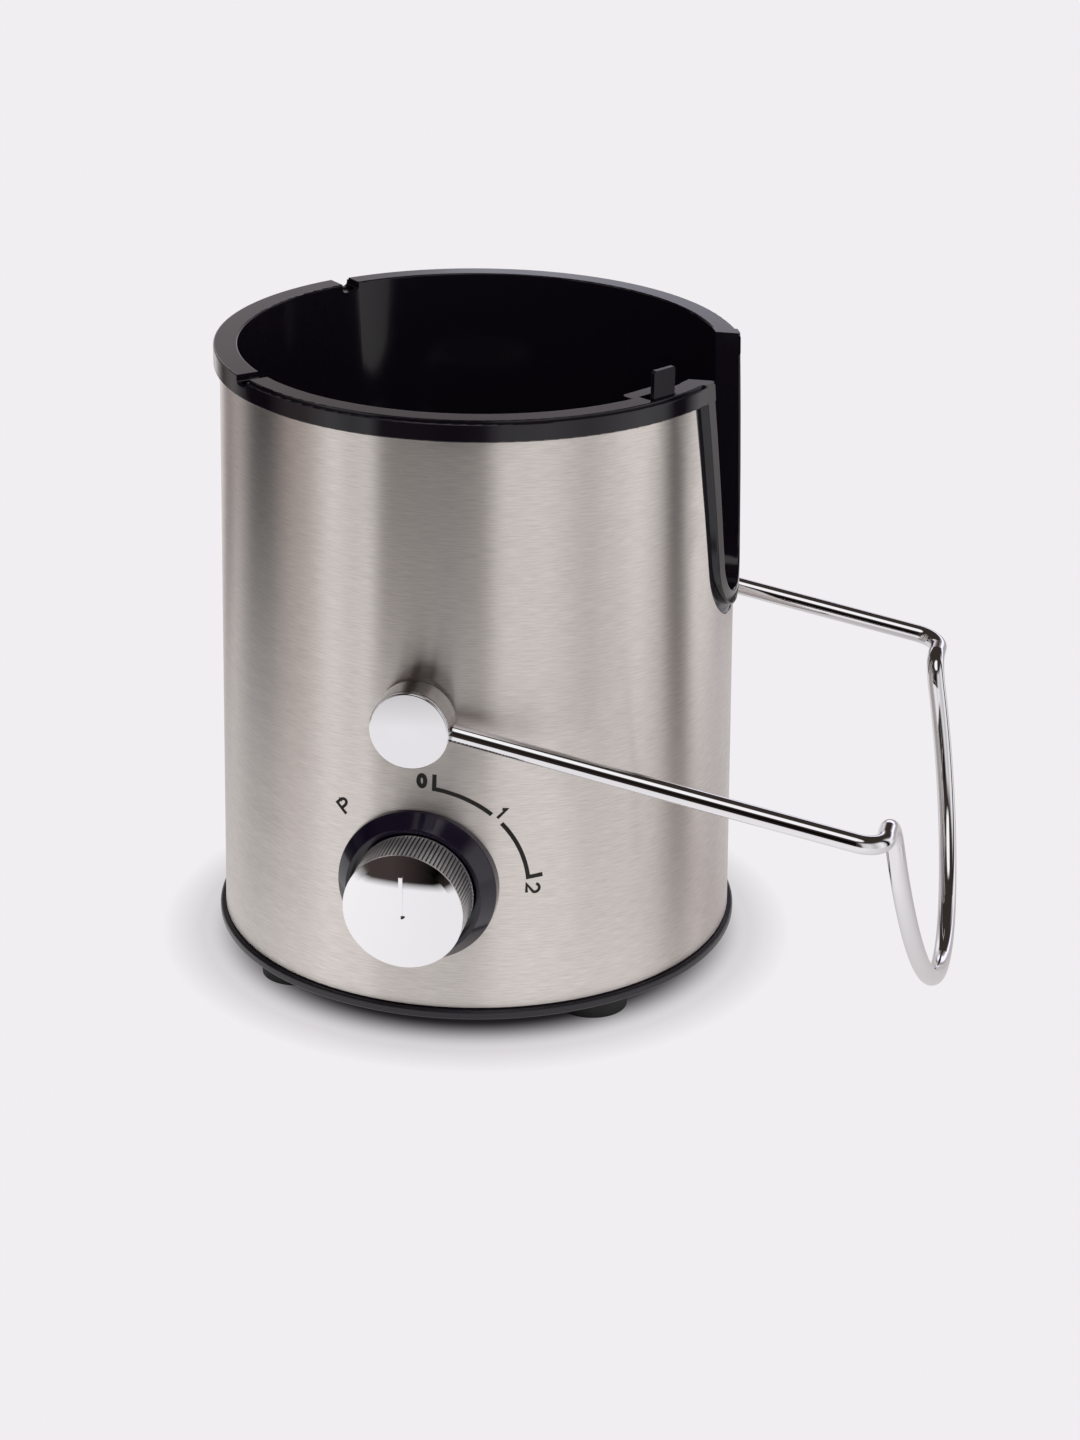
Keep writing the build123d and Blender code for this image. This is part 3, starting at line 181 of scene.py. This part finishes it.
# Brightness of the studio round the base, as angle and level. The angle is in degrees, anticlockwise
# from the camera seen from above: a lamp far to each side, soft boxes left and right, dark room between.
STUDIO_BANDS = [
    (-180, 0.25), (-160, 1.0), (-145, 0.1), (-132, 0.5), (-116, 0.0), (-102, 0.0), (-90, 0.25),
    (-80, 0.35), (-66, 0.9), (-56, 0.6), (-48, 0.8), (-42, 0.04), (-30, 0.04), (-10, 0.0),
    (2, 0.05), (10, 0.7), (30, 0.8), (48, 0.55), (74, 1.0), (86, 0.7), (93, 0.0), (100, 0.0),
    (110, 1.1), (130, 0.5), (180, 0.25)]
# Brightness of the paper as metal mirrors it, in the same angles: brighter where the lamps stand
FLOOR_BANDS = [
    (-180, 0.8), (-120, 0.75), (-90, 0.8), (-48, 1.0), (-5, 0.9), (30, 0.95), (90, 0.5),
    (135, 0.7), (180, 0.8)]
LAMP_LEVEL = 0.6
LAMP_TINT = (1.0, 0.985, 0.985)
ROOM_TINT = (1.34, 1.0, 0.93)

# Heights in the studio go from 0, straight down, through 0.5, level, to 1, straight up
CEILING = (0.040, 0.032, 0.027)
CEILING_START = 0.72
CEILING_FULL = 0.82

# Round light overhead, by the cosine of the angle from its middle
TOP_LIGHT = 1.1
TOP_TINT = (1.0, 0.99, 0.98)
TOP_LEAN = math.radians(26)
TOP_OUTER = 0.935
TOP_INNER = 0.965

# White wall behind the base. Its sides are shares of a turn, where 0.5 is towards the camera
WALL_LIGHT = 1.2
WALL_TINT = (0.97, 0.96, 1.12)
WALL_SIDES = [0.14, 0.20, 0.80, 0.86]
WALL_DIM = (0.25, 0.25, 0.25)
WALL_DIM_START = 0.005
WALL_HEIGHTS = [0.53, 0.57, 0.63, 0.655]
ABOVE_WALL = 0.69

# Floor, as a half width and as radii from the drive shaft: where metal stops mirroring the paper,
# where the painted contact shadow under the base fades, and where true shadows give way to plain paper
FLOOR_HALF = 3.0
PAPER_FULL = 0.36
PAPER_END = 0.47
PAINTED_SHADOW_START = 0.0755
PAINTED_SHADOW_END = 0.0945
# Tone of the painted contact shadow on the paper under the base
PAINTED_SHADOW_TONE = (0.02, 0.018, 0.02, 1)
SHADOW_START = 0.096
SHADOW_END = 0.110
# Share of the floor's light that takes true shadows, and how bright white paper renders by itself
SHADOW_SHARE = 0.3
PAPER_LEVEL = 0.75


def turn_from_camera(graph, vector):
    """Azimuth of a vector about Z, as a share of a turn, 0.5 towards the camera's side."""
    parts = graph.add("ShaderNodeSeparateXYZ", {0: vector}).outputs
    front = towards_camera()
    ahead = graph.math("ADD", graph.math("MULTIPLY", parts["X"], front.x),
                       graph.math("MULTIPLY", parts["Y"], front.y))
    aside = graph.math("ADD", graph.math("MULTIPLY", parts["X"], -front.y),
                       graph.math("MULTIPLY", parts["Y"], front.x))
    turn = graph.math("ARCTAN2", aside, ahead)
    return graph.math("MULTIPLY_ADD", turn, 0.5 / math.pi, 0.5), parts


def studio_tone(value):
    """Lamps are neutral; the dark room between them is a warm brown."""
    share = min(value / LAMP_LEVEL, 1.0)
    return tuple(value * (share * lamp + (1 - share) * room) for lamp, room in zip(LAMP_TINT, ROOM_TINT))


def band_ramp(graph, share, bands):
    return graph.ramp(share, [(angle / 360 + 0.5, studio_tone(value)) for angle, value in bands])


def wall_area(graph, share, height):
    """White inside the wall behind the base, dimmed on the side where turns start."""
    left_end, left_fade, right_fade, right_start = WALL_SIDES
    low, low_full, high_full, high = WALL_HEIGHTS
    across = graph.ramp(share, [
        (0.0, WHITE), (WALL_DIM_START, WALL_DIM), (left_end, WALL_DIM), (left_fade, BLACK),
        (right_fade, BLACK), (right_start, WHITE), (1.0, WHITE)])
    upward = graph.ramp(height, [(low, BLACK), (low_full, WHITE), (high_full, WHITE), (high, BLACK)])
    return graph.math("MULTIPLY", across, upward)


def above_wall(graph, share, height):
    """White in the dark room over the wall."""
    back = graph.ramp(share, list(zip(WALL_SIDES, (WHITE, BLACK, BLACK, WHITE))))
    return graph.math("MULTIPLY", back, graph.edge(height, WALL_HEIGHTS[-1], ABOVE_WALL))


def build_world():
    """Studio that the metal mirrors: lamps either side, a light overhead, a white wall behind the base."""
    world = bpy.data.worlds.new("studio")
    world.use_nodes = True
    bpy.context.scene.world = world
    graph = Graph(world.node_tree)
    direction = graph.add("ShaderNodeTexCoord").outputs["Generated"]
    share, parts = turn_from_camera(graph, direction)
    height = graph.math("MULTIPLY_ADD", parts["Z"], 0.5, 0.5)
    bands = band_ramp(graph, share, STUDIO_BANDS)
    lit = graph.mix(graph.edge(height, CEILING_START, CEILING_FULL), bands, (*CEILING, 1))
    middle = towards_camera() * math.sin(TOP_LEAN) + Vector((0, 0, math.cos(TOP_LEAN)))
    facing = graph.vector("DOT_PRODUCT", direction, middle)["Value"]
    top_tone = (*tinted(TOP_LIGHT, TOP_TINT), 1)
    lit = graph.mix(graph.edge(facing, TOP_OUTER, TOP_INNER), lit, top_tone)
    lit = graph.mix(above_wall(graph, share, height), lit, (*CEILING, 1))
    lit = graph.mix(wall_area(graph, share, height), lit, (*tinted(WALL_LIGHT, WALL_TINT), 1))
    seen = graph.add("ShaderNodeLightPath").outputs["Is Camera Ray"]
    color = graph.mix(seen, lit, (*BACKGROUND, 1))
    background = graph.add("ShaderNodeBackground", {"Color": color, "Strength": 1.0})
    graph.add("ShaderNodeOutputWorld", {"Surface": background.outputs[0]})


def glow(graph, color, strength=1.0):
    return graph.add("ShaderNodeEmission", {"Color": color, "Strength": strength}).outputs[0]


def choose(graph, factor, first, second):
    return graph.add("ShaderNodeMixShader", {0: factor, 1: first, 2: second}).outputs[0]


def floor_as_seen(graph, radius, painted_shadow_fade):
    """The paper for the camera: painted contact shadow and true shadows near the base, plain tone further out."""
    shaded = tuple(SHADOW_SHARE * part / PAPER_LEVEL for part in BACKGROUND)
    # Painted contact shadow: the shadow catcher and the plain paper both darken towards the base
    catcher_tone = graph.mix(painted_shadow_fade, PAINTED_SHADOW_TONE, (*shaded, 1))
    catcher = graph.add("ShaderNodeBsdfDiffuse", {"Color": catcher_tone}).outputs[0]
    rest = glow(graph, graph.mix(painted_shadow_fade, PAINTED_SHADOW_TONE, (*BACKGROUND, 1)), 1.0 - SHADOW_SHARE)
    shadowed = graph.add("ShaderNodeAddShader", {0: catcher, 1: rest}).outputs[0]
    away = graph.spread(radius, SHADOW_START, SHADOW_END)
    return choose(graph, away, shadowed, glow(graph, (*BACKGROUND, 1)))


def floor_as_mirrored(graph, radius, share, painted_shadow_fade):
    """The paper for metal: its bands, with the painted contact shadow near the base, as far as it reaches, and
    then the studio below it.
    """
    # Painted contact shadow: the paper that metal mirrors darkens towards the base as well
    reflected = graph.mix(painted_shadow_fade, PAINTED_SHADOW_TONE, band_ramp(graph, share, FLOOR_BANDS))
    gone = graph.add("ShaderNodeBsdfTransparent").outputs[0]
    return choose(graph, graph.spread(radius, PAPER_FULL, PAPER_END), glow(graph, reflected), gone)


def build_floor():
    """Pale paper under the base, a stage and not part of the object."""
    mesh = bpy.data.meshes.new("floor")
    corners = [(-1, -1), (1, -1), (1, 1), (-1, 1)]
    mesh.from_pydata([(x * FLOOR_HALF, y * FLOOR_HALF, 0) for x, y in corners], [], [(0, 1, 2, 3)])
    floor = bpy.data.objects.new("floor", mesh)
    bpy.context.scene.collection.objects.link(floor)
    material, graph = new_material("floor_paper")
    place = graph.add("ShaderNodeNewGeometry").outputs["Position"]
    share, parts = turn_from_camera(graph, place)
    radius = graph.length(graph.add("ShaderNodeCombineXYZ", {"X": parts["X"], "Y": parts["Y"]}).outputs[0])
    # Painted contact shadow: 0 under the base's rim, where the paper takes the dark tone, 1 where it is clear of
    # it
    painted_shadow_fade = graph.spread(radius, PAINTED_SHADOW_START, PAINTED_SHADOW_END, interpolation_type="SMOOTHSTEP")
    paper = graph.add("ShaderNodeBsdfDiffuse", {"Color": (*BACKGROUND, 1)}).outputs[0]
    mirrored = floor_as_mirrored(graph, radius, share, painted_shadow_fade)
    seen = floor_as_seen(graph, radius, painted_shadow_fade)
    path = graph.add("ShaderNodeLightPath").outputs
    other = choose(graph, path["Is Glossy Ray"], paper, mirrored)
    final = graph.add("ShaderNodeMixShader", {0: path["Is Camera Ray"], 1: other, 2: seen})
    finish_surface(graph, final)
    mesh.materials.append(material)


# ------------------------------------------------------------------ materials
# The body's mean radius, which turns a length of grain into an angle, and the tone of its dark streaks
GRAIN_RADIUS = 87 * MM
GRAIN_SHADE = 0.84
PLASTIC_VARIATION = 0.15
# Reach and tone of the painted shade that darkens the grooves and hollows of metal parts
PAINTED_SHADE_REACH = 0.8 * MM
PAINTED_SHADE_TONE = (0.01, 0.01, 0.01, 1)
# The knob's ribbed side starts this far behind its face, and its grooves lie this far below the ribs
KNOB_FACE_DEPTH = 3.0 * MM
KNOB_SIDE_FADE = 0.2 * MM
KNOB_GROOVE_DEEP = 0.55 * MM
KNOB_GROOVE_SHALLOW = 0.25 * MM
# How much of its colour a groove keeps under its painted shade, and how much of its metal the ribbed side loses
KNOB_GROOVE_PAINTED_SHADE = 0.05
KNOB_SIDE_DULLING = 0.45


def object_place(graph):
    return graph.add("ShaderNodeTexCoord").outputs["Object"]


def noise(graph, place, scale, detail, **inputs):
    values = {"Vector": place, "Scale": scale, "Detail": detail, **inputs}
    return graph.add("ShaderNodeTexNoise", values).outputs[0]


def bumped(graph, height, strength, distance):
    inputs = {"Height": height, "Strength": strength, "Distance": distance}
    return graph.add("ShaderNodeBump", inputs).outputs[0]


def brushed_metal(name, color, roughness, anisotropic, grain_length, grain_width, bump):
    """Metal brushed round the Z axis: fine streaks that run round the body."""
    material, graph = new_material(name)
    parts = graph.add("ShaderNodeSeparateXYZ", {0: object_place(graph)}).outputs
    turn = graph.math("ARCTAN2", parts["Y"], parts["X"])
    round_way = graph.math("MULTIPLY", turn, GRAIN_RADIUS / grain_length)
    up_way = graph.math("MULTIPLY", parts["Z"], 1 / grain_width)
    grain_place = graph.add("ShaderNodeCombineXYZ", {"X": round_way, "Y": up_way}).outputs[0]
    grain = noise(graph, grain_place, 1.0, 4.0, Roughness=0.6)
    broad = noise(graph, grain_place, 0.12, 2.0)
    streak = graph.spread(grain, 0.36, 0.64)
    tangent = graph.add("ShaderNodeTangent", direction_type="RADIAL", axis="Z").outputs[0]
    shader = graph.add("ShaderNodeBsdfPrincipled", {
        "Base Color": graph.mix(streak, (*tinted(GRAIN_SHADE, color), 1), (*color, 1)),
        "Metallic": 1.0,
        "Roughness": graph.spread(broad, 0.3, 0.7, roughness - 0.01, roughness + 0.01),
        "Anisotropic": anisotropic,
        "Anisotropic Rotation": 0.25,
        "Normal": bumped(graph, grain, bump, 0.04 * MM),
        "Tangent": tangent})
    finish_surface(graph, shader)
    return material


def plastic(name, color, roughness, bump_scale=900.0, bump=0.02):
    """Moulded plastic or rubber with a faint uneven surface."""
    material, graph = new_material(name)
    place = object_place(graph)
    fine = noise(graph, place, bump_scale, 3.0)
    broad = noise(graph, place, 45.0, 2.0)
    light = tinted(1 + PLASTIC_VARIATION, color)
    shader = graph.add("ShaderNodeBsdfPrincipled", {
        "Base Color": graph.mix(broad, (*color, 1), (*light, 1)),
        "Roughness": graph.spread(broad, 0.3, 0.7, roughness * 0.85, roughness * 1.15),
        "Normal": bumped(graph, fine, bump, 0.1 * MM)})
    finish_surface(graph, shader)
    return material


def metal(name, color, roughness, bump=0.02, scale=700.0, streak=(1, 1, 1), contrast=0.05):
    """Plated, cast or drawn metal with slight marks in its gloss and painted shade in its grooves."""
    material, graph = new_material(name)
    stretched = graph.vector("MULTIPLY", object_place(graph), streak)[0]
    marks = noise(graph, stretched, scale, 4.0)
    tone = graph.mix(marks, (*tinted(1 - contrast, color), 1), (*color, 1))
    # Painted shade: ambient occlusion darkens the colour in grooves and hollows
    painted_shade = graph.add("ShaderNodeAmbientOcclusion", {"Color": tone, "Distance": PAINTED_SHADE_REACH}, samples=6)
    shader = graph.add("ShaderNodeBsdfPrincipled", {
        "Base Color": graph.mix(painted_shade.outputs["AO"], PAINTED_SHADE_TONE, tone),
        "Metallic": 1.0,
        "Roughness": graph.spread(marks, 0.35, 0.7, roughness * 0.8, roughness * 1.2),
        "Normal": bumped(graph, marks, bump, 0.05 * MM)})
    finish_surface(graph, shader)
    return material


def knob_plate(name, color, face_roughness, side_roughness):
    """Chrome plate, mirror bright on the knob's face and softer on its ribbed side, with painted shade in the
    grooves between its ribs.
    """
    material, graph = new_material(name)
    place = object_place(graph)
    offset = graph.vector("SUBTRACT", place, (0, 0, KNOB_Z))[0]
    radius = graph.length(graph.vector("MULTIPLY", offset, (1, 0, 1))[0])
    reach = (KNOB_HIGH[0] - KNOB_LOW[0]) / 2
    depth = graph.add("ShaderNodeSeparateXYZ", {0: place}).outputs["Y"]
    side_start = KNOB_LOW[1] + KNOB_FACE_DEPTH
    side = graph.spread(depth, side_start, side_start + KNOB_SIDE_FADE)
    marks = noise(graph, place, 120.0, 4.0)
    worn = graph.math("MULTIPLY_ADD", marks, 0.02, face_roughness - 0.01)
    rough = graph.add("ShaderNodeMix", {"Factor": side, "A": worn, "B": side_roughness}).outputs[0]
    # Painted shade: on the ribbed side, the grooves below the ribs are darkened to a small share of the chrome's
    # colour
    on_rib = graph.spread(radius, reach - KNOB_GROOVE_DEEP, reach - KNOB_GROOVE_SHALLOW)
    groove_painted_shade = graph.math("MULTIPLY", side, graph.math("SUBTRACT", 1.0, on_rib))
    shader = graph.add("ShaderNodeBsdfPrincipled", {
        "Base Color": graph.mix(groove_painted_shade, (*color, 1), (*tinted(KNOB_GROOVE_PAINTED_SHADE, color), 1)),
        "Metallic": graph.math("MULTIPLY_ADD", side, -KNOB_SIDE_DULLING, 1.0),
        "Roughness": rough})
    finish_surface(graph, shader)
    return material


MATERIALS = {
    "shell_steel": brushed_metal("shell_steel", (0.873, 0.82, 0.784), 0.32, 1.0, 6.5 * MM, 0.4 * MM, 0.02),
    "gloss_black": plastic("gloss_black", (0.015, 0.0115, 0.020), 0.10, 300.0, 0.01),
    "bezel_black": plastic("bezel_black", (0.018, 0.012, 0.034), 0.12, 300.0, 0.01),
    "base_black": plastic("base_black", (0.018, 0.015, 0.023), 0.32, 1500.0, 0.15),
    "foot_rubber": plastic("foot_rubber", (0.012, 0.012, 0.012), 0.6, 1200.0, 0.2),
    "chrome_plate": metal("chrome_plate", (0.84, 0.835, 0.865), 0.035, 0.005, 120.0),
    "satin_chrome": metal("satin_chrome", (0.62, 0.60, 0.60), 0.10, 0.05, 2500.0, (0.02, 1, 0.02), 0.6),
    "cast_aluminium": metal("cast_aluminium", (0.62, 0.63, 0.64), 0.5, 0.3, 900.0),
    "core_steel": metal("core_steel", (0.20, 0.20, 0.21), 0.45),
    "plain_steel": metal("plain_steel", (0.60, 0.60, 0.60), 0.3),
    "copper_wire": metal("copper_wire", (0.70, 0.30, 0.14), 0.3, 0.3, 1500.0),
    "brass_part": metal("brass_part", (0.78, 0.58, 0.28), 0.3),
    "carbon_block": plastic("carbon_block", (0.02, 0.02, 0.02), 0.6),
    "drive_nylon": plastic("drive_nylon", (0.45, 0.45, 0.43), 0.42, 900.0, 0.1),
    "switch_plastic": plastic("switch_plastic", (0.03, 0.03, 0.035), 0.4),
    "white_plastic": plastic("white_plastic", (0.70, 0.70, 0.68), 0.4),
    "bush_acetal": plastic("bush_acetal", (0.72, 0.72, 0.69), 0.35),
    "capacitor_box": plastic("capacitor_box", (0.60, 0.45, 0.07), 0.35),
    "knob_chrome": knob_plate("knob_chrome", (0.89, 0.885, 0.91), 0.035, 0.22),
    "dial_ink": plastic("dial_ink", (0.010, 0.007, 0.006), 0.6),
}
# Nodes whose finish is their own and not their slot's
OWN_FINISH = {"speed_knob": "knob_chrome"}


def dress_cad_nodes():
    """Give every CAD node its own finish, or else the material of its slot in the record."""
    for subpart in frame["record"]["subparts"]:
        node = NODES[subpart["node"]]
        node.data.materials.clear()
        node.data.materials.append(MATERIALS[OWN_FINISH.get(subpart["node"], subpart["material_slot"])])


# ------------------------------------------------------------------ dial print
INK_PROUD = 0.05 * MM
INK_STROKE = 1.4 * MM
INK_STROKE_FINE = 0.95 * MM
GLYPH_HALF_HEIGHT = 2.1 * MM
GLYPH_HALF_WIDTH = 1.45 * MM
LETTER_SHARE = 1.12
ZERO_SHARE = (0.75, 0.9)
MITRE_LIMIT = 0.5
ARC_STEP = 2.0
# The drawing's middle, beside the knob's axis
DIAL_ASIDE = 0.5 * MM
DIAL_DROP = 1.0 * MM
DIAL_RADIUS = 35.6 * MM
# Each mark's angle clockwise from the top in degrees, its radius and its own turn clockwise
PULSE_PLACE = (-46, 35.8 * MM, -45)
OFF_PLACE = (1.5, 37.8 * MM, 0)
LOW_PLACE = (44.1, 38.0 * MM, 45)
HIGH_PLACE = (89.5, 37.0 * MM, 90)
# Each arc's start and end, and the ticks at the outer ends of the two arcs
FIRST_ARC = (7.8, 41)
SECOND_ARC = (48.3, 83)
FIRST_TICK_ANGLES = (8.1, 7.2)
FIRST_TICK_REACH = 40.6 * MM
LAST_TICK_REACH = 40.4 * MM


def shell_radii():
    """Outer radius of the shell at its lower and upper edge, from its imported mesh."""
    shell = NODES["outer_shell"]
    corners = [shell.matrix_world @ vertex.co for vertex in shell.data.vertices]
    low = max(math.hypot(corner.x, corner.y) for corner in corners if corner.z < SHELL_LOW[2] + MM)
    high = max(math.hypot(corner.x, corner.y) for corner in corners if corner.z > SHELL_HIGH[2] - MM)
    return low, high


def on_shell(point, radii, lift):
    """A point of the flat dial drawing carried on to the shell's cone round the knob's axis."""
    across = point[0] + DIAL_ASIDE
    height = KNOB_Z + point[1] - DIAL_DROP
    rise = (height - SHELL_LOW[2]) / (SHELL_HIGH[2] - SHELL_LOW[2])
    radius = radii[0] + rise * (radii[1] - radii[0])
    turn = across / radius
    return Vector(((radius + lift) * math.sin(turn), -(radius + lift) * math.cos(turn), height))


def dial_point(angle, radius):
    """Point of the flat drawing by its angle clockwise from the top and its radius."""
    turn = math.radians(angle)
    return radius * math.sin(turn), radius * math.cos(turn)


def dial_arc(start, end):
    steps = round((end - start) / ARC_STEP)
    return [dial_point(start + (end - start) * index / steps, DIAL_RADIUS) for index in range(steps + 1)]


def dial_tick(first_angle, last_angle, reach):
    """Tick from the arc's inner edge outwards."""
    return [dial_point(first_angle, DIAL_RADIUS - INK_STROKE / 2), dial_point(last_angle, reach)]


def bow(centre, half_width, half_height, start, end, steps=16):
    """Stretch of an ellipse, its angles anticlockwise from the right."""
    points = []
    for index in range(steps + 1):
        turn = math.radians(start + (end - start) * index / steps)
        points.append((centre[0] + half_width * math.cos(turn), centre[1] + half_height * math.sin(turn)))
    return points


def letter_p():
    wide, tall = GLYPH_HALF_WIDTH, GLYPH_HALF_HEIGHT
    stem = [(-wide, -tall), (-wide, tall), (0, tall)]
    points = stem + bow((0, tall / 2), wide, tall / 2, 90, -90) + [(-wide, 0)]
    return [(x * LETTER_SHARE, y * LETTER_SHARE) for x, y in points]


def figure_zero():
    wide, tall = GLYPH_HALF_WIDTH * ZERO_SHARE[0], GLYPH_HALF_HEIGHT * ZERO_SHARE[1]
    return bow((0, 0), wide, tall, 0, 360, 32)[:-1]


def figure_one():
    wide, tall = GLYPH_HALF_WIDTH, GLYPH_HALF_HEIGHT
    return [(-0.5 * wide, 0.55 * tall), (0.2 * wide, tall), (0.2 * wide, -tall)]


def figure_two():
    wide, tall = GLYPH_HALF_WIDTH, GLYPH_HALF_HEIGHT
    return bow((0, tall - wide), wide, wide, 165, -25) + [(-wide, -tall), (wide, -tall)]


def placed(points, angle, radius, turn):
    """A glyph turned clockwise and set at its place on the dial."""
    middle = dial_point(angle, radius)
    cosine = math.cos(math.radians(turn))
    sine = math.sin(math.radians(turn))
    return [(middle[0] + x * cosine + y * sine, middle[1] - x * sine + y * cosine) for x, y in points]


def dial_strokes():
    """Centre lines of the dial: pulse mark, off mark, the two speeds and the arcs between them."""
    last = SECOND_ARC[1]
    return [
        (placed(letter_p(), *PULSE_PLACE), INK_STROKE_FINE, False),
        (placed(figure_zero(), *OFF_PLACE), INK_STROKE, True),
        (dial_tick(*FIRST_TICK_ANGLES, FIRST_TICK_REACH), INK_STROKE, False),
        (dial_arc(*FIRST_ARC), INK_STROKE, False),
        (placed(figure_one(), *LOW_PLACE), INK_STROKE_FINE, False),
        (dial_arc(*SECOND_ARC), INK_STROKE, False),
        (dial_tick(last, last, LAST_TICK_REACH), INK_STROKE, False),
        (placed(figure_two(), *HIGH_PLACE), INK_STROKE_FINE, False)]


def stroke_sides(points, width, closed):
    """Left and right edge of a stroke along its centre line, with mitred corners."""
    count = len(points)
    left = []
    right = []
    for index, (x, y) in enumerate(points):
        before = points[index - 1] if closed or index else None
        after = points[(index + 1) % count] if closed or index < count - 1 else None
        ways = []
        for start, end in ((before, (x, y)), ((x, y), after)):
            if start and end:
                ways.append(Vector((end[0] - start[0], end[1] - start[1])).normalized())
        way = sum(ways, Vector((0, 0))).normalized()
        reach = width / 2 / max(way.dot(ways[0]), MITRE_LIMIT)
        left.append((x - way.y * reach, y + way.x * reach))
        right.append((x + way.y * reach, y - way.x * reach))
    return left, right


def add_stroke(mesh, points, width, closed, radii):
    """One stroke as a thin closed solid that lies on the shell and reaches just into it."""
    sides = stroke_sides(points, width, closed)
    rings = []
    for left, right in zip(*sides):
        ring = [on_shell(left, radii, INK_PROUD), on_shell(right, radii, INK_PROUD),
                on_shell(right, radii, -INK_PROUD), on_shell(left, radii, -INK_PROUD)]
        rings.append([mesh.verts.new(corner) for corner in ring])
    pairs = list(zip(rings, rings[1:])) + ([(rings[-1], rings[0])] if closed else [])
    for first, second in pairs:
        for index in range(4):
            mesh.faces.new((first[index], first[index - 1], second[index - 1], second[index]))
    if not closed:
        mesh.faces.new(rings[0])
        mesh.faces.new(reversed(rings[-1]))


def build_dial():
    """Printed speed scale round the knob."""
    mesh = bmesh.new()
    radii = shell_radii()
    for points, width, closed in dial_strokes():
        add_stroke(mesh, points, width, closed, radii)
    bmesh.ops.recalc_face_normals(mesh, faces=mesh.faces)
    data = bpy.data.meshes.new("dial_print")
    mesh.to_mesh(data)
    mesh.free()
    dial = bpy.data.objects.new("dial_print", data)
    bpy.context.scene.collection.objects.link(dial)
    data.materials.append(MATERIALS["dial_ink"])
    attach(dial, "root")


# ------------------------------------------------------------------ spring under the interlock rod
def build_plunger_spring():
    """Copy of the spring under the interlock rod, put in place of the CAD node."""
    spring = NODES["plunger_spring"].copy()
    spring.data = spring.data.copy()
    spring.name = "interlock_spring"
    bpy.context.scene.collection.objects.link(spring)
    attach(spring, "root")
    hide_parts("plunger_spring")
    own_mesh(spring)


add_camera()
build_world()
build_floor()
dress_cad_nodes()
build_dial()
build_plunger_spring()

bpy.context.scene.view_settings.view_transform = "Standard"
